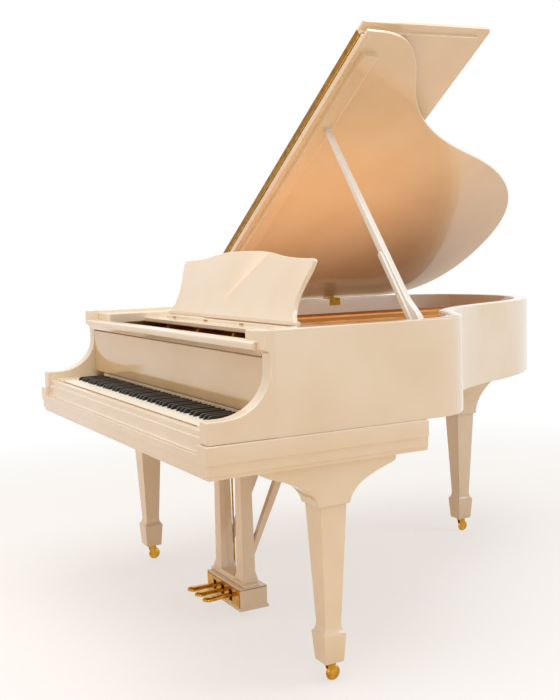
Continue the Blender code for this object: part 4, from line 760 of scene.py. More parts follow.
@dataclass
class Case(Assembly):
    """The bent rim with its arms, the base moulding, the key slip, blocks and stretcher."""

    arris: float = 3
    joint_y: float = 200
    arm_top: float = 778
    arm_flat: float = 45
    cheek_back: float = 183
    cheek_top: float = 893
    block_bottom: float = 947
    block_front: float = 168
    cove: tuple[float, float] = (15, 16)
    moulding_end: float = 675
    moulding_depth: float = 45
    proud: tuple[float, float, float] = (11, 7, 3)
    band: tuple[float, float] = (48, 28)
    seat_drop: float = 26.5

    def build(self) -> None:
        """Build and dress every piece of the case."""
        self.rim()
        self.moulding()
        self.key_slip()
        for side in ("bass", "treble"):
            self.piece(f"rounded_key_block_{side}", block(*box(f"key_block_{side}"), 3), Look.IVORY,
                       node=f"key_block_{side}")
        self.stretcher()
        for node, look in (("inner_rim", Look.MAPLE), ("wood_braces", Look.SPRUCE_BAR),
                           ("keybed", Look.MAPLE_CROSS), ("pinblock", Look.MAPLE_CROSS)):
            self.shop.dress(node, look)

    def rim(self) -> None:
        """The rim: one wall carried round the plan, with an arm and a curved cheek at each end."""
        r, low, top, arm_top = self.arris, RIM_BOTTOM, RIM_TOP, self.arm_top
        profile = np.vstack((arc((-1, low + 1), 1, 270, 360, 3), arc((-r, top - r), r, 0, 90, 4),
                             arc((r - WALL, top - r), r, 90, 180, 4),
                             arc((1 - WALL, low + 1), 1, 180, 270, 3)))
        wall = carried(profile, PLAN.path(0, self.joint_y))
        cheek = arc((self.arm_flat, self.cheek_top),
                    (self.cheek_back - self.arm_flat, arm_top - self.cheek_top), 90, 0, 14)
        front, back = self.block_front, self.joint_y + r
        cove = arc((front, self.block_bottom - self.cove[1]), self.cove, 0, 80, 5)
        outline = np.vstack((
            (back, low), (2, low), (0, low + 2), (0, arm_top - 4), (1.2, arm_top - 1.2),
            (4, arm_top), cheek, cove, (front, self.block_bottom + 2), (front, top - 4),
            (front + 1.2, top - 1.2), (front + 4, top), (back, top)))
        arm = side_board(outline, HALF - WALL, HALF, r)
        self.piece("bent_rim_and_arms", joined(wall, arm, arm.mirrored()), Look.IVORY,
                   node="outer_rim")

    def moulding(self) -> None:
        """The base moulding: a stepped profile mitred round the front corners."""
        top, bottom = RIM_BOTTOM - SEAT, box("base_moulding")[0][2]
        middle = top - self.band[0]
        lower = middle - self.band[1]
        first, second, third = self.proud
        profile = eased(((-self.moulding_depth, top), (first, top), (first, middle),
                         (second, middle), (second, lower), (third, lower), (third, bottom),
                         (-self.moulding_depth, bottom)), (0, 2, 2, 1, 1.6, 1, 1.6, 0))
        inner, end = HALF - WALL, self.moulding_end
        places = np.array(((HALF, end), (HALF, 0), (inner, 0), (inner, 0),
                           (-inner, 0), (-inner, 0), (-HALF, 0), (-HALF, end)))
        mitre = np.array(((1, 0), (1, -1), (0, -1), (0, -1), (0, -1), (0, -1), (-1, -1), (-1, 0)))
        xy = places[:, None, :] + mitre[:, None, :] * profile[None, :, :1]
        z = np.broadcast_to(profile[:, 1], (len(places), len(profile))).copy()
        z[3:5] = np.minimum(z[3:5], top - self.seat_drop)
        self.piece("stepped_base_moulding", loft(np.concatenate((xy, z[..., None]), axis=2)),
                   Look.IVORY, node="base_moulding")

    def key_slip(self) -> None:
        """The key slip: a stepped strip with a cove and a rounded nose, in front of the keys."""
        (left, front, seat), (right, back, top) = box("key_slip")
        nose, face, cove_top, nose_top, step = 3.5, 10, 716, 732, 4.5
        foot = eased(((back, seat), (front, seat), (front, seat + 4), (front + 2, seat + step)),
                     (0, 0.2, 2, 0))[1:]
        cove = arc((front + 2, cove_top), (nose - front - 2, cove_top - seat - step), 272, 358, 9)
        head = eased(((nose, cove_top), (nose, nose_top), (face, nose_top), (face, top),
                      (back, top)), (0, 5, 1, 2.5, 1))[1:]
        self.piece("key_slip_with_cove",
                   extruded(np.vstack(((back, seat), foot, cove, head)), left, right), Look.IVORY,
                   node="key_slip")

    def stretcher(self) -> None:
        """The stretcher over the fallboard: a rounded nose above a thinner lip."""
        (left, nose, soffit), (right, back, top) = box("stretcher")
        profile = eased(((back, top), (nose, top), (nose, top - 22), (nose + 12, top - 23),
                         (nose + 23, soffit), (back, soffit)), (1, 9, 9, 1.5, 3, 1), 6)
        self.piece("stretcher_with_nose", extruded(profile, left, right), Look.IVORY,
                   node="stretcher")


@dataclass
class Fallboard(Assembly):
    """The board behind the keys that turns forward over them, and the strip and felt under it."""

    def build(self) -> None:
        """Build the board, rounded at its foot, the name board strip and its felt."""
        (left, y0, z0), (right, y1, z1) = box("fallboard")
        r = (y1 - y0) / 2
        profile = np.vstack((arc((y0 + r, z0 + r), r, 180, 360, 13),
                             arc((y1 - 5, z1 - 5), 5, 0, 90, 5),
                             arc((y0 + 4, z1 - 4), 4, 90, 180, 5)))
        # The board's darker lacquer is painted shade, for the shade under the stretcher.
        self.piece("rounded_fallboard", extruded(profile, left, right), Look.IVORY_BOARD_SHADE,
                   Body.FALLBOARD, "fallboard")
        under, half = z0 - 0.8, box("natural_keys")[1][0]
        self.piece("name_board_strip", block((-half, y0 + 2.5, under - 13), (half, y1, under), 1),
                   Look.IVORY)
        felt = block((-half, y0 - 1, under - 13), (half, y0 + 2.7, under - 9), 1)
        self.piece("key_name_felt", felt, Look.RED_FELT)


@dataclass
class Key:
    """One key's plan: the left and right edges of its head and of its stick."""

    name: str
    sharp: bool
    left: float
    right: float
    stick_left: float
    stick_right: float


@dataclass
class Keyboard(Assembly):
    """52 naturals and 36 sharps. Five keys in the middle move by themselves."""

    width: float = 1225
    naturals: int = 52
    gap: float = 1
    front: float = 31.5
    back: float = 370
    head: float = 50
    top: float = 752
    cap_thick: float = 2.6
    sharp_top: float = 764
    sharp_width: float = 9.5
    sharp_back: float = 178
    balance_rail: tuple[float, float] = (223, 247)
    back_rail: tuple[float, float, float] = (386, 410, 737)
    moving: tuple[str, ...] = ("C4", "Cs4", "D4", "Ds4", "E4")

    def layout(self) -> list[Key]:
        """Work out each key's plan from the usual groups of 3 and 4 naturals."""
        pitch = self.width / self.naturals
        keys, octave = [], 0
        for index in range(self.naturals):
            letter = "ABCDEFG"[index % 7]
            octave += letter == "C"
            left = -self.width / 2 + index * pitch
            group = "CDE" if letter in "CDE" else "FGAB"
            order = group.find(letter)
            step = len(group) * pitch / (2 * len(group) - 1)
            stick = left - order * pitch + 2 * order * step
            first, last = index == 0, index == self.naturals - 1
            keys.append(Key(f"{letter}{octave}", False, left, left + pitch,
                            left if first else stick, left + pitch if last else stick + step))
            if letter not in "EB" and not last:
                sides = (stick + step, stick + 2 * step)
                keys.append(Key(f"{letter}s{octave}", True, *sides, *sides))
        return keys

    def natural(self, key: Key, low: float) -> tuple[Shape, Shape]:
        """One natural: an acrylic cap with a lip, over a stick that is a little narrower.

        Args:
            key: its plan.
            low: the stick's underside.

        Returns:
            The cap and the stick.
        """
        def plan(play: float, front: float) -> list[tuple[float, float]]:
            """The natural's outline, with the given play at its sides."""
            shoulder = self.front + self.head
            loop = [(key.left + play, front), (key.right - play, front)]
            if key.right - key.stick_right > 1:
                loop += [(key.right - play, shoulder), (key.stick_right - play, shoulder)]
            loop += [(key.stick_right - play, self.back), (key.stick_left + play, self.back)]
            if key.stick_left - key.left > 1:
                loop += [(key.stick_left + play, shoulder), (key.left + play, shoulder)]
            return loop

        split = self.top - self.cap_thick
        return (board(plan(self.gap / 2, self.front), split, self.top, 0.7),
                board(plan(self.gap / 2 + 0.2, self.front + 1.2), low, split, 0.2))

    def sharp(self, key: Key) -> Shape:
        """One sharp: a bevelled bar whose front slopes, so that it is narrower at its top."""
        middle, low = (key.stick_left + key.stick_right) / 2, self.top - 3
        start = self.front + self.head + self.gap
        across = np.array((-1, -1, -0.80, -0.62, 0.62, 0.80, 1, 1)) * self.sharp_width / 2
        up = np.array((0, 0.72, 0.95, 1, 1, 0.95, 0.72, 0)) * (self.sharp_top - low)
        stations = ((start, 0.35), (start + 1.5, 0.60), (start + 4, 0.86), (start + 8, 0.98),
                    (start + 14, 1.0), (self.sharp_back, 1.0))
        return loft([np.column_stack((middle + across, np.full(8, y), low + up * rise))
                     for y, rise in stations])

    def build(self) -> None:
        """Build the caps, sticks and sharps, and the five keys that move."""
        caps, sticks, sharps, loose = [], [], [], []
        stick_low = self.top - 20
        for key in self.layout():
            if key.name in self.moving:
                loose += [key.left, key.right]
                self.moving_key(key)
            elif key.sharp:
                sharps.append(self.sharp(key))
            else:
                cap, stick = self.natural(key, stick_low)
                caps.append(cap)
                sticks.append(stick)
        half, bed = self.width / 2 - 4, box("natural_keys")[0][2]
        start, end = min(loose), max(loose)
        spans = ((-half, start, stick_low + 1),
                 (start - 2, end + 2, box("key_C4")[0][2] - 1.5), (end, half, stick_low + 1))
        front, rear = self.balance_rail
        rails = [block((x0, front, bed), (x1, rear, top), 1) for x0, x1, top in spans]
        front, rear, top = self.back_rail
        rails.append(block((-half, front, bed), (half, rear, top), 1))
        for name, shapes, look, node in (
                ("natural_caps", caps, Look.KEY_WHITE, "natural_keys"),
                ("natural_sticks", sticks, Look.KEY_WHITE, ""),
                ("sharp_bars", sharps, Look.KEY_BLACK, "sharp_keys"),
                ("key_frame_rails", rails, Look.KEY_WOOD, "")):
            self.piece(name, joined(*shapes), look, Body.KEY_FRAME, node)

    def moving_key(self, key: Key) -> None:
        """One key of the middle octave that turns on its own pin."""
        node, body = f"key_{key.name}", f"body_key_{key.name}"
        low = box(node)[0][2]
        if key.sharp:
            middle, half = (key.stick_left + key.stick_right) / 2, self.sharp_width / 2
            stick = block((middle - half, self.sharp_back - 2, low),
                          (middle + half, self.back, self.top), 0.5)
            self.piece(f"sharp_{key.name}", self.sharp(key), Look.KEY_BLACK, body, node)
            self.piece(f"stick_{key.name}", stick, Look.KEY_WOOD, body)
            return
        cap, stick = self.natural(key, low)
        self.piece(f"cap_{key.name}", cap, Look.KEY_WHITE, body, node)
        self.piece(f"stick_{key.name}", stick, Look.KEY_WHITE, body)


@dataclass
class SoundBody(Assembly):
    """Soundboard, bridges, cast plate, strings, pins and dampers."""

    bars: tuple[float, ...] = (-400, -130, 150, 420)
    bar_width: float = 22
    bar_top: float = 948
    plate_top: float = 936
    plate_thick: float = 13
    web: tuple[float, float, float] = (654, 360, 560)
    flange: float = 85
    horn: tuple[float, float, float] = (580, 690, 90)
    string_height: float = 939
    note_groups: tuple[tuple[float, float], ...] = ((-380, -152), (-108, 128), (172, 398),
                                                    (442, 571))
    note_pitch: float = 12
    string_gap: float = 3
    bass_run: tuple[float, float, float] = (-638, -418, 9)
    damper_y: float = 600
    damper_reach: float = 550
    damper_pitch: float = 20
    damper_head: tuple[float, float] = (9, 19)

    def build(self) -> None:
        """Build and dress every piece of the sound body."""
        self.shop.dress("soundboard", Look.SPRUCE)
        self.shop.dress("hammer_rail", Look.MAPLE)
        self.bridges()
        self.plate()
        self.strings()
        self.dampers()

    def plate(self) -> None:
        """The plate: a flange carried round the plan, a web over the pinblock, and tapered bars."""
        top, low = self.plate_top, self.plate_top - self.plate_thick
        out, inner = -WALL - 1, 0.5 - WALL - self.flange
        web_half, front, back = self.web
        bead = eased(((out, low), (out, top), (out - 12, top), (out - 15, top + 2),
                      (inner + 16, top + 2), (inner + 12, top), (inner, top), (inner, low)),
                     (0, 1, 1, 2, 2, 2, 3, 2))
        shapes = [carried(bead, PLAN.path(0, back + 10)),
                  block((-web_half, front, low + 1), (web_half, back, top - 1), 3)]
        near, far, reach = self.horn
        shapes += [block((side * near, back - 4, low + 1), (side * far, back + reach, top), 3)
                   for side in (-1, 1)]
        half, foot = self.bar_width / 2, low + 8
        for x, end in zip(self.bars, PLAN.back_at(self.bars, WALL + self.flange - 20)):
            section = eased(((x - half, foot), (x + half, foot), (x + half * 0.72, self.bar_top),
                             (x - half * 0.72, self.bar_top)), (0, 0, 4, 4))
            shapes.append(extruded(section, front + 5, end, "Y"))
        self.piece("cast_plate", joined(*shapes), Look.IRON, node="plate")

    def spine(self, points: Points) -> Array:
        """A smooth curve through a bridge's plan points, by cubic interpolation of both values."""
        knots = np.array(points, dtype=float)
        fine = np.linspace(0, len(knots) - 1, 60)
        index = np.clip(fine.astype(int), 0, len(knots) - 2)
        f = (fine - index)[:, None]
        before, here, there, after = (knots[np.clip(index + step, 0, len(knots) - 1)]
                                      for step in (-1, 0, 1, 2))
        return 0.5 * (2 * here + (there - before) * f
                      + (2 * before - 5 * here + 4 * there - after) * f ** 2
                      + (3 * here - before - 3 * there + after) * f ** 3)

    def bridges(self) -> None:
        """The long and the short bridge, each a rounded maple strip on the soundboard."""
        half = 15.5
        runs = {"treble": ((560, 700), (440, 800), (280, 960), (130, 1140), (10, 1330), (-90, 1480),
                           (-230, 1580), (-400, 1620)),
                "bass": ((-180, 1380), (-330, 1455), (-500, 1500), (-600, 1510))}
        for name, points in runs.items():
            (_, _, low), (_, _, high) = box(f"{name}_bridge")
            profile = eased(((-half, low), (half, low), (half, high), (-half, high)), (0, 0, 3, 3))
            self.piece(f"{name}_bridge_strip", carried(profile, self.spine(points)), Look.MAPLE,
                       node=f"{name}_bridge")

    def strings(self) -> None:
        """Three steel strings to a note, single copper-wound ones in the bass, and their pins."""
        notes = np.concatenate([np.arange(left, right, self.note_pitch)
                                for left, right in self.note_groups])
        steel = (notes[:, None] + np.array((-1, 0, 1)) * self.string_gap).ravel()
        bass = np.arange(*self.bass_run)
        # The steel strings' and pins' warm colour is a painted reflection of the gold plate.
        for name, x, radius, look in (("steel", steel, 0.55, Look.STEEL_WIRE_PLATE_REFLECTION),
                                      ("bass", bass, 1.5, Look.COPPER_WIRE)):
            front = self.web[1] + 95 + (np.arange(len(x)) % 3) * 22
            starts, ends = (np.insert(np.column_stack((x, y)), 2, self.string_height, axis=1)
                            for y in (front, PLAN.back_at(x, WALL + 38)))
            self.piece(f"{name}_strings", rods(starts, ends, radius, 5), look)
            pins = rods(starts - (0, 0, 6), starts + (0, 0, 16), 3.2, 8)
            hitch = rods(ends - (0, 0, 4), ends + (0, 0, 4), 1.6, 6)
            self.piece(f"{name}_pins", joined(pins, hitch), Look.STEEL_WIRE_PLATE_REFLECTION)

    def dampers(self) -> None:
        """A rail across the case, with a wire, a lacquered head and a felt for each damper."""
        (left, _, low), (right, _, high) = box("damper_rail")
        y, seat = self.damper_y, 943.5
        wide, long = self.damper_head
        x = np.arange(-self.damper_reach, self.damper_reach + 1, self.damper_pitch)
        x = x[np.min(np.abs(x[:, None] - np.array(self.bars)), axis=1) >= self.bar_width]
        spots = np.column_stack((x, np.full(len(x), y), np.zeros(len(x))))
        heads = spots + (-wide / 2, 2 - long, seat)
        # The damper wires' warm steel is a painted reflection of the gold plate.
        for name, shape, look, node in (
                ("rail_bar", block((left, y - 9, low), (right, y + 9, low + 14), 2), Look.MAPLE,
                 "damper_rail"),
                ("wires", rods(spots + (0, 0, low + 10), spots + (0, 0, 944), 1.2, 6),
                 Look.STEEL_WIRE_PLATE_REFLECTION, ""),
                ("heads", lumps(heads, heads + (wide, long, high - seat), 1.2),
                 Look.BLACK_LACQUER, ""),
                ("felts", lumps(heads + (0.3, 0.5, -3), heads + (wide - 0.3, long - 0.5, 0.2), 0.6),
                 Look.WHITE_FELT, "")):
            self.piece(f"damper_{name}", shape, look, Body.DAMPERS, node)


@dataclass
class Lid(Assembly):
    """The main lid on its hinges, the front flap folded back on top of it, and the props."""

    hinge_x: float = -754
    hinge_z: float = 1003.5
    angle: float = math.radians(33.2)
    thick: float = 22
    edge: float = 12
    border: float = 30
    overhang: float = 12
    batten: tuple[float, float, float] = (20, 52, 18)
    batten_ends: tuple[float, float] = (100, 80)
    fold_y: float = 660
    fold_height: float = 24.5
    flap_front: float = 160
    flap_tilt: float = math.radians(3.3)
    arris: float = 2.5
    prop_at: tuple[float, float, float] = (674, 712, 961.5)
    prop_reach: float = 1108
    prop_thick: float = 20
    cup_thick: float = 2.5
    knuckles: int = 36
    hinge_margin: float = 42
    button_xs: tuple[float, float] = (150, 1350)
    button_reach: float = 60

    def __post_init__(self) -> None:
        """Work out where the lid, the flap and the prop stand, and the lid's two layers."""
        self.frame = (Matrix.Translation((self.hinge_x, 0, self.hinge_z))
                      @ Matrix.Rotation(-self.angle, 4, "Y"))
        self.flap_frame = (self.frame @ Matrix.Translation((0, self.fold_y, self.fold_height))
                           @ Matrix.Rotation(-math.pi + self.flap_tilt, 4, "X"))
        depth = self.batten[2] + self.cup_thick + 2 * SEAT
        tip = self.frame @ Vector((self.prop_reach, 0, -depth))
        across, up = self.prop_at[0] - tip.x, tip.z - self.prop_at[2]
        self.prop_lean, self.prop_length = math.atan2(across, up), math.hypot(across, up)
        self.prop_frame = (Matrix.Translation(self.prop_at)
                           @ Matrix.Rotation(-self.prop_lean, 4, "Y"))
        self.layers = ((0, 0, self.edge), (self.border, self.edge - 3, self.thick))

    def build(self) -> None:
        """Build the lid, its flap, hinges, buttons, cup and props."""
        self.main_lid()
        self.flap()
        self.hinges()
        self.props()
        self.bracket_and_cup()

    def main_lid(self) -> None:
        """The lid: a thin edge round a raised field, a batten under its front, and two buttons."""
        shapes = [board(PLAN.path(inset - self.overhang, self.fold_y + SEAT) - (self.hinge_x, 0),
                        low, high, self.arris) for inset, low, high in self.layers]
        offset, width, drop = self.batten
        start, end = self.batten_ends
        shapes.append(block((start, self.fold_y + offset, -drop),
                            (HALF - self.hinge_x + self.overhang - end,
                             self.fold_y + offset + width, 3), 3))
        self.piece("lid_panel", joined(*shapes).turned(self.frame), Look.IVORY_LID, Body.LID,
                   "main_lid")
        reach = self.button_reach
        top = self.fold_height * 2 - self.thick + reach * math.tan(self.flap_tilt) - 1
        button = ((9, self.thick - 4), (9, top - 1), (8, top), (3, top))
        buttons = [turned_shape(button, 20, (x, self.fold_y + reach, 0)) for x in self.button_xs]
        self.piece("lid_buttons", joined(*buttons).turned(self.frame), Look.RUBBER, Body.LID)

    def flap(self) -> None:
        """The flap: a thin edge round a raised field, and the strip hinge along its fold."""
        left, right = (side * (HALF + self.overhang) - self.hinge_x for side in (-1, 1))
        front, back, base = self.flap_front - self.fold_y, -2.1, -self.fold_height
        shapes = []
        for inset, low, high in self.layers:
            x0, x1, y0 = left + inset, right - inset, front + inset
            loop = eased(((x0, back), (x0, y0), (x1, y0), (x1, back)), (0, 24, 24, 0), 8)
            shapes.append(board(loop, base + low, base + high, self.arris))
        self.piece("flap_panel", joined(*shapes).turned(self.flap_frame), Look.IVORY_LID, Body.FLAP,
                   "front_flap")
        left, right = left + self.hinge_margin, right - self.hinge_margin
        strip = block((left, -1.8, 1 - self.fold_height), (right, -SEAT, -0.4), 0.2)
        edges = np.linspace(left, right, self.knuckles + 1)[:, None] * (1, 0, 0)
        pins = rods(edges[:-1] + (0.8, 0, 0), edges[1:] - (0.8, 0, 0), 2.0, 12)
        self.piece("hinge_knuckles", pins.turned(self.flap_frame), Look.BRASS, Body.FLAP,
                   "flap_hinge")
        # The leaf's darker brass is painted shade, darker than the knuckles that catch the light.
        self.piece("hinge_leaf", strip.turned(self.flap_frame), Look.SHADED_LEAF_BRASS, Body.FLAP)

    def hinges(self) -> None:
        """Two butt hinges on the spine: three knuckles, and a leaf bent down inside the rim."""
        pin, seat, thick = self.hinge_x, RIM_TOP + SEAT, 1.5
        for number in (1, 2):
            (_, front, low), (inner, back, _) = box(f"lid_hinge_{number}")
            edges = np.column_stack((np.full(4, pin), np.linspace(front, back, 4),
                                     np.full(4, self.hinge_z)))
            knuckles = rods(edges[:-1] + (0, 0.3, 0), edges[1:] - (0, 0.3, 0), 3.2, 14)
            loop = ((pin, seat), (inner - thick, seat), (inner - thick, low), (inner, low),
                    (inner, seat + thick), (pin, seat + thick))
            heads = [turned_shape(((2.6, -0.2), (2.6, 0), (2, 0.5), (0.4, 0.6)), 12,
                                  (inner, front + step, low + 12), "X") for step in (10, 26, 42)]
            self.piece(f"butt_hinge_{number}",
                       joined(knuckles, front_board(loop, front, back, 0.3), *heads),
                       Look.DULL_BRASS, node=f"lid_hinge_{number}")

    def props(self) -> None:
        """The long prop, tapered from a flared foot, and the short one beside it."""
        half, length, low, end = self.prop_thick / 2, self.prop_length, 15, 7
        slope = end * math.tan(self.prop_lean - self.angle)
        foot, flare, left, right = 40, 105, 20.5, 30
        corners = ((-11, -16), (11, -16), (right - 6, -10), (right, 8), (right, foot),
                   (right - 4, foot + 18), (low + 4, flare - 15), (low, flare),
                   (end, length - slope), (-end, length + slope), (-low, flare),
                   (-low - 2, flare - 20), (-left, foot), (-left, -4))
        soft = (2, 2, 6, 8, 12, 12, 16, 20, 1.5, 1.5, 20, 14, 12, 6)
        shape = front_board(eased(corners, soft, 5), -half, half, 3)
        # Both props take the whiter lacquer: painted light, for the strong light on them.
        self.piece("shaped_long_prop", shape.turned(self.prop_frame), Look.PROP_IVORY_LIT, Body.PROP,
                   "lid_prop")
        front, w, start, end = -half - SEAT, 9, 30, 290
        loop = eased(((-w, start), (w, start), (w, end), (-w, end)), (4, 4, 8, 8), 6)
        shape = front_board(loop, front - 10, front, 2)
        self.piece("shaped_short_prop", shape.turned(self.prop_frame), Look.PROP_IVORY_LIT, Body.SHORT_PROP,
                   "short_prop")

    def bracket_and_cup(self) -> None:
        """The bracket the prop turns in, and the cup in the lid that takes its tip."""
        x, y, z = self.prop_at
        low, (right, back, top) = box("prop_bracket")
        seat, wall = low[2], self.prop_thick / 2 + SEAT
        ear = eased(((x - 16, seat + 1), (x + 16, seat + 1), (x + 9, top), (x - 9, top)),
                    (0, 0, 8, 8), 6)
        ears = [front_board(ear, *sorted((y + side * wall, y + side * (wall + 3))), 0.8)
                for side in (-1, 1)]
        pin = rods((x, y - wall - 5, z), (x, y + wall + 5, z), 3.5, 16)
        spots = [(x + dx, y + dy, seat + 3) for dx in (-13, 14) for dy in (-24, 24)]
        base = block(low, (right, back, seat + 3), 0.8)
        self.piece("prop_bracket_plate", joined(base, *ears, pin, screw_heads(spots, 3, 1)),
                   Look.DULL_BRASS, node="prop_bracket")
        cup = np.array(((10, 0), (10, -1.6), (9, -2.4), (6.5, -2.5), (1, -2.5)))
        disc = turned_shape(cup - (0, self.batten[2] + SEAT), 28, (self.prop_reach, y, 0))
        self.piece("prop_cup_disc", disc.turned(self.frame), Look.IVORY, Body.LID, "prop_cup")


@dataclass
class MusicStand(Assembly):
    """The sliding shelf, the music desk that folds back on it, and the desk's strut."""

    desk_y: float = 414
    axis_z: float = 990
    lean: float = math.radians(21.0)
    crest: float = 231
    ear_top: float = 200.6
    ear: float = 479.5
    waist: float = 446.3
    waist_high: float = 68
    foot: float = 492
    rail: float = 495
    thick: float = 16
    foot_radius: float = 7.3
    hinge_xs: tuple[float, ...] = (-420, -140, 140, 420)
    hinge_width: float = 30
    panel: tuple[float, float] = (340, 15.5)
    arm: tuple[float, float, float] = (135, 560, 34)
    ledge: tuple[float, float, float] = (13, 13, 24.5)

    def outline(self) -> Array:
        """The desk's outline: a low crest, eared shoulders, a waist and a flared foot."""
        crest, top, ear = self.crest, self.ear_top, self.ear
        waist, high = self.waist, self.waist_high
        sweep = (ear / 2, (crest + top) / 2 + 1)
        right = np.vstack((
            (0.0, crest),
            bezier(((0, crest), (ear * 0.23, crest), (ear * 0.36, crest - 3), sweep), 14, 1),
            bezier((sweep, (ear * 0.63, top + 7), (ear * 0.75, top + 1), (ear - 10, top)), 12, 1),
            (ear - 5, top - 0.3), (ear - 1.6, top - 2.4),
            bezier(((ear, top - 7), (ear, top - 50), (waist, high + 57), (waist, high)), 16),
            bezier(((waist, high), (waist, high / 2), (self.foot - 30, 4), (self.foot, 0)), 14, 1)))
        return np.vstack((right, right[:0:-1] * (-1, 1)))

    def build(self) -> None:
        """Build the shelf, the desk, its hinges and the strut."""
        low, high = box("music_shelf")
        seat, y, rail = low[2], self.desk_y, self.rail
        start, thick = self.panel
        width, end, height = self.arm
        inner = high[0] - width
        panel = block((-inner - 4, start, seat), (inner + 4, high[1], seat + thick), 3)
        arm = block((inner, low[1], seat), (high[0], end, seat + height), 3)
        deep, foot, top = self.ledge
        ledge = block((-rail, y - deep, seat + foot), (rail, y + deep, seat + top), 3)
        self.piece("sliding_shelf", joined(panel, arm, arm.mirrored(), ledge), Look.IVORY,
                   Body.SHELF, "music_shelf")
        upright = Matrix.Translation((0, y, self.axis_z)) @ Matrix.Rotation(-self.lean, 4, "X")
        half, end, rise = self.thick / 2, self.foot - 2, 0.7
        desk = joined(front_board(self.outline(), -half, half, 3),
                      rods((-end, 0, rise), (end, 0, rise), self.foot_radius, 20))
        self.piece("shaped_music_desk", desk.turned(upright), Look.IVORY, Body.DESK, "music_desk")
        front, w = y - deep, self.hinge_width / 2
        plates = [block((x - w, front - 0.6, seat + 16.2), (x + w, front + 1, seat + 20.4), 0.4)
                  for x in self.hinge_xs]
        self.piece("desk_hinge_plates", joined(*plates), Look.DULL_BRASS, Body.SHELF)
        folded = (upright @ Matrix.Translation((0, 11.5, 100))
                  @ Matrix.Rotation(2 * self.lean, 4, "X"))
        w, length = 60, 108.5
        loop = eased(((-w, -length), (w, -length), (w * 0.6, 1), (-w * 0.6, 1)), 6)
        self.piece("shaped_strut", front_board(loop, -3, 3, 1.2).turned(folded), Look.IVORY,
                   Body.STRUT, "desk_strut")


@dataclass
class Legs(Assembly):
    """Three square tapered legs, each under a bracketed capital and on a brass caster."""

    leg_top: float = 510
    reach: float = 205
    block_half: float = 50

    def build(self) -> None:
        """Build all three legs."""
        for name in ("bass", "treble", "tail"):
            x, y, _ = box(f"leg_{name}").mean(axis=0)
            neck = bezier(((25.9, 170), (26.4, 156), (30, 149), (35.4, 143)), 7)
            profile = ((42, self.leg_top - SEAT), *neck, (35.8, 141), (30, 64), (28.5, 60.5),
                       (26, 60))
            self.piece(f"tapered_leg_{name}", square_post(profile, 1.2, x, y), Look.IVORY,
                       node=f"leg_{name}")
            self.piece(f"bracketed_capital_{name}", self.capital(name, x, y), Look.IVORY,
                       node=f"capital_{name}")
            self.caster(name, x, y)

    def capital(self, name: str, x: float, y: float) -> Shape:
        """A capital: a square block with a curved bracket to the front, the back and inwards."""
        half, low, reach = self.block_half, self.leg_top, self.reach
        (_, front, _), (_, _, top) = box(f"capital_{name}")
        tail = name == "tail"
        base = 670 if tail else top - 21
        drop = base - low
        curve = bezier(((half, low), (half + 12, low + drop * 0.54), (half + 70, low + drop * 0.74),
                        (reach - 6, base)), 16)
        right = np.vstack(((half - 6, low), curve, (reach, base + 6), (reach, top)))
        loop = np.vstack((right, right[::-1] * (-1, 1))) + (y, 0)
        inward = -1 if x > 0 else 1
        spread = np.where(right[:, 0] < half, right[:, 0], half + (right[:, 0] - half) * 0.55)
        across = np.vstack((np.column_stack((x + inward * spread, right[:, 1])),
                            (x, top), (x, low)))
        shapes = [side_board(loop, x - half + 1, x + half - 1, 3),
                  front_board(across, y - half + 1.5, y + half - 1.5, 2),
                  block((x - inward * (half - 3), y - half + 2, low),
                        (x + inward * half, y + half - 2, top), 3)]
        if tail:
            shapes.append(block((x - 115, front, 690), (x + 115, y + 190, top), 3))
        return joined(*shapes)

    def caster(self, name: str, x: float, y: float) -> None:
        """A caster: a cup under the foot, a cast fork, and a crowned brass wheel."""
        low, high = box(f"caster_wheel_{name}")
        _, wheel_y, wheel_z = (low + high) / 2
        half, _, radius = (high - low) / 2
        crown = arc((0, 0), (radius, half), -58, 58, 9)
        crown *= (radius, half) / np.abs(crown).max(axis=0)
        self.piece(f"crowned_wheel_{name}",
                   turned_shape(np.vstack(((3.4, -half), crown, (3.4, half))), 40,
                                (x, wheel_y, wheel_z), "X"),
                   Look.BRASS, f"wheel_{name}", f"caster_wheel_{name}")
        top, seat, inner, wall = box(f"caster_fork_{name}")[1][2], 48, half + 0.8, 3
        cup = ((15, 50), (16.5, 51.5), (17, 54), (17, 57.5), (16, top))
        cheek = eased(((y - 12, seat + 5), (y - 7, seat - 14), (wheel_y - 7, wheel_z - 6),
                       (wheel_y + 7, wheel_z - 6), (y + 14, seat - 6), (y + 14, seat + 5)),
                      (2, 5, 6, 6, 6, 2), 5)
        cheeks = [side_board(cheek, *sorted((x + side * inner, x + side * (inner + wall))), 0.8)
                  for side in (-1, 1)]
        out = inner + wall
        bridge = block((x - out, y - 12, seat), (x + out, y + 14, seat + 6), 1)
        pin = rods((x - out - 0.5, wheel_y, wheel_z), (x + out + 0.5, wheel_y, wheel_z), 3, 14)
        self.piece(f"cast_fork_{name}",
                   joined(turned_shape(cup, 28, (x, y, 0)), *cheeks, bridge, pin), Look.BRASS,
                   f"fork_{name}", f"caster_fork_{name}")


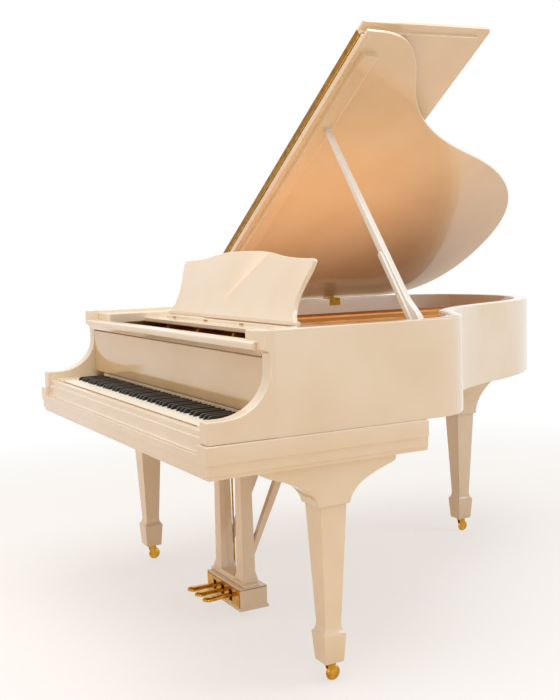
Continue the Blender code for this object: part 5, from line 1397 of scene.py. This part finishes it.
@dataclass
class Lyre(Assembly):
    """The pedal lyre: two posts, a box with a brass front, three pedals, rods and braces."""

    posts: tuple[float, ...] = (-82.5, 82.5)
    post_y: float = 416
    rod_y: float = 444
    bill: float = 18.5
    neck: float = 9.5

    def build(self) -> None:
        """Build the lyre and its pedals."""
        self.frame_piece()
        self.box_piece()
        for name in ("left", "middle", "right"):
            self.pedal(name)
        for name in ("bass", "treble"):
            (left, y0, z0), (right, y1, z1) = box(f"lyre_brace_{name}")
            loop = ((y0, z0), (y0, z0 + 43), (y1 - 38, z1), (y1, z1))
            self.piece(f"lyre_stay_{name}", side_board(loop, left, right, 2), Look.IVORY,
                       node=f"lyre_brace_{name}")

    def frame_piece(self) -> None:
        """The top block, the two tapered posts on pyramid feet, and the sole they stand on."""
        low, high = box("lyre_frame")
        left, front, sole = low
        profile = ((19, high[2] - 12), (23.5, sole + 43), (24, sole + 41), (29, sole + 20),
                   (29, sole + 16))
        shapes = [block((left, 385, high[2] - 32), high, 2.5),
                  *(square_post(profile, 1, x, self.post_y) for x in self.posts),
                  block(low, (-left, 439.5, sole + 10), 2),
                  block((-114, front + 2, sole + 8), (114, 439, sole + 20), 2.5)]
        self.piece("lyre_posts", joined(*shapes), Look.IVORY, node="lyre_frame")

    def box_piece(self) -> None:
        """The pedal box, hollow behind its slotted brass front, on a small plinth."""
        low, (right, back, top) = box("pedal_box")
        front, back, half, wall, foot = low[1] + 4, back - 4, right - 4, 14, low[2] + 9
        shapes = [block((-half, front, top - 8), (half, back, top), 2),
                  block(low, (right, back + 4, foot + 2), 2),
                  block((1 - half, back - wall, foot), (half - 1, back - 0.5, top - 2.5), 1)]
        shapes += [block((side * half, front, foot), (side * (half - wall), back, top - 2), 2)
                   for side in (-1, 1)]
        self.piece("pedal_box_case", joined(*shapes), Look.IVORY, node="pedal_box")
        self.shop.dress("pedal_plate", Look.BRASS)
        (_, front, low), (_, _, top) = box("pedal_plate")
        heads = screw_heads([(x, z, 0) for x in (-116, -31, 31, 116) for z in (low + 7, top - 7)],
                            2.6, 0.9)
        facing = Matrix.Translation((0, front, 0)) @ Matrix.Rotation(math.pi / 2, 4, "X")
        self.piece("plate_screws", heads.turned(facing), Look.BRASS)

    def pedal(self, name: str) -> None:
        """A duck-bill pedal, a narrow stem that widens into a domed, rounded toe, and its rod.

        A ring is a squarish oval, sign(cos a)|cos a|^0.7 across and the same of the sine up.
        """
        low, high = box(f"pedal_{name}")
        x, _, middle = (low + high) / 2
        t = np.linspace(0.0, 1.0, 26)
        s = (high[1] - low[1]) * 0.5 * (t ** 1.6 + np.where(t > 0.54, t, 0.0))
        bill = self.bill * np.sqrt(np.clip(1 - (s / 18 - 1).clip(-1, 0) ** 2, 0.02, 1))
        half = self.neck + (bill - self.neck) / (1 + np.exp((s - 46) / 7))
        half[0] = 4
        rise = (high[2] - low[2]) * 0.70 * (0.45 + 0.55 * np.clip(s / 16, 0, 1))
        a = np.linspace(0, 2 * math.pi, 20, endpoint=False)
        across, up = (np.sign(wave) * np.abs(wave) ** 0.7 for wave in (np.cos(a), np.sin(a)))
        rings = np.stack((x + half[:, None] * across, low[1] + s[:, None] + 0 * a,
                          middle + rise[:, None] * up), axis=-1)
        self.piece(f"duck_bill_{name}", loft(rings), Look.BRASS, f"body_pedal_{name}",
                   f"pedal_{name}")
        (_, _, foot), (_, _, head) = box(f"pedal_rod_{name}")
        rod = rods((x, self.rod_y, foot), (x, self.rod_y, head), 3, 14)
        self.piece(f"polished_rod_{name}", rod, Look.DULL_BRASS, f"body_rod_{name}",
                   f"pedal_rod_{name}")


# The studio


@dataclass
class Studio:
    """The floor, the white surround, the lights, and the camera, where the photo's own stood."""

    eye: tuple[float, float, float] = (3.0156, -0.9977, 1.1863)
    heading: float = math.radians(60.496)
    pitch: float = math.radians(-5.421)
    roll: float = math.radians(-1.526)
    focal: float = 51.455
    shift: tuple[float, float] = (-0.0348, 0.0013)
    floor_reach: float = 4.0
    floor_glow: float = 0.62
    world_light: float = 0.48

    def floor(self) -> None:
        """A pale floor: white where it is seen, tan to the light it throws back, no edge seen."""
        material = bpy.data.materials.new("matt_white_studio_floor")
        nodes = Nodes(material)
        seen = nodes.seen()
        white = nodes.blend(nodes.noise(40, 3.0), linear("#FAF8F6"), linear("#F6F4F1"))
        shader = nodes.surface(Base_Color=nodes.blend(seen, linear("#F0DDBE"), white),
                               Roughness=0.9, Specular_IOR_Level=0.1)
        glow = nodes.add("Emission", Color=linear("#FFFDFB"), Strength=1.0)
        reach = nodes.add("VectorMath", {"operation": "LENGTH"}, Vector=nodes.place())
        fade = nodes.spread(reach.outputs["Value"], 1.9, 3.6, 0.0, 1.0)
        share = nodes.add("Math", {"operation": "MULTIPLY"})
        nodes.feed(share, {0: seen, 1: self.floor_glow})
        mixed = shader.outputs[0]
        for fac, other in ((share.outputs[0], glow), (fade, nodes.add("BsdfTransparent"))):
            mix = nodes.add("MixShader")
            nodes.feed(mix, {0: fac, 1: mixed, 2: other.outputs[0]})
            mixed = mix.outputs[0]
        nodes.feed(nodes.tree.nodes["Material Output"], {"Surface": mixed})
        material.cycles.emission_sampling = "NONE"
        edge = np.linspace(-self.floor_reach, self.floor_reach, 7)
        y, x = np.meshgrid(edge, edge, indexing="ij")
        points = np.stack((x, y, np.zeros_like(x)), axis=-1).reshape(-1, 3)
        i, j = np.meshgrid(np.arange(6), np.arange(6), indexing="ij")
        faces = np.stack((i * 7 + j, i * 7 + j + 1, i * 7 + j + 8, i * 7 + j + 7), axis=-1)
        mesh = bpy.data.meshes.new("studio_floor")
        mesh.from_pydata(points.tolist(), [], faces.reshape(-1, 4).tolist())
        mesh.materials.append(material)
        thing = bpy.data.objects.new("studio_floor", mesh)
        bpy.context.scene.collection.objects.link(thing)

    def world(self) -> None:
        """A white surround for the camera and for polish, and a soft one for the light."""
        world = bpy.data.worlds.new("white_surround")
        nodes = Nodes(world)
        soft = [self.world_light * value for value in linear("#FFF2E2")]
        nodes.feed(nodes.tree.nodes["Background"],
                   {"Color": nodes.blend(nodes.seen(), soft, linear("#FFFFFF"))})
        bpy.context.scene.world = world

    def lamp(self, name: str, place: Sequence[float], aim: Sequence[float], size: float,
             power: float, colour: str, hidden: bool = False) -> None:
        """A square soft light that faces a point.

        Args:
            name: its name.
            place: where it hangs.
            aim: the point it faces.
            size: its side.
            power: its power in watts.
            colour: its colour.
            hidden: True where neither the camera nor polish sees the lamp itself.
        """
        light = bpy.data.lights.new(name, "AREA")
        light.energy, light.size, light.color = power, size, linear(colour)[:3]
        thing = bpy.data.objects.new(name, light)
        turn = (Vector(aim) - Vector(place)).to_track_quat("-Z", "Y")
        thing.matrix_world = Matrix.Translation(Vector(place)) @ turn.to_matrix().to_4x4()
        thing.visible_camera = thing.visible_glossy = not hidden
        bpy.context.scene.collection.objects.link(thing)

    def camera(self) -> None:
        """The camera: heading, pitch and roll worked out from the photo's own lines."""
        data = bpy.data.cameras.new("photo_camera")
        data.lens, data.clip_end = self.focal, 60.0
        data.shift_x, data.shift_y = self.shift
        thing = bpy.data.objects.new("photo_camera", data)
        thing.matrix_world = (Matrix.Translation(Vector(self.eye) + Vector(ORIGIN) / 1000)
                              @ Matrix.Rotation(self.heading, 4, "Z")
                              @ Matrix.Rotation(math.pi / 2 + self.pitch, 4, "X")
                              @ Matrix.Rotation(self.roll, 4, "Z"))
        bpy.context.scene.collection.objects.link(thing)
        bpy.context.scene.camera = thing

    def build(self) -> None:
        """Set up floor, surround, lights and camera."""
        self.floor()
        self.world()
        self.lamp("key_light", (2.8, 3.2, 2.8), (0.1, 0.6, 0.85), 2.0, 46, "#E4EEFF")
        self.lamp("top_light", (0.4, -0.6, 4.4), (0.0, 0.0, 0.6), 3.6, 136, "#FAFCFF")
        self.lamp("front_light", (-1.6, -4.6, 1.5), (0.0, 0.0, 0.8), 2.2, 30, "#FFB65E")
        self.lamp("side_light", (3.4, -1.2, 0.5), (0.0, 0.3, 1.6), 1.2, 11, "#FFCE98")
        self.lamp("gold_glow", (-0.05, -0.05, 1.03), (-0.25, -0.05, 1.33), 0.9, 2.4, "#FFCA9C",
                  hidden=True)
        self.camera()
        bpy.context.scene.view_settings.view_transform = "Standard"


def main() -> None:
    """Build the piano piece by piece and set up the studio."""
    logging.basicConfig(level=logging.INFO, format="%(name)s: %(message)s")
    shop = Workshop()
    for assembly in (Case, Fallboard, Keyboard, SoundBody, Lid, MusicStand, Legs, Lyre):
        assembly(shop).build()
        LOG.info("%s finished", assembly.__name__)
    Studio().build()
    LOG.info("%d pieces", shop.made)


if __name__ == "__main__":
    main()
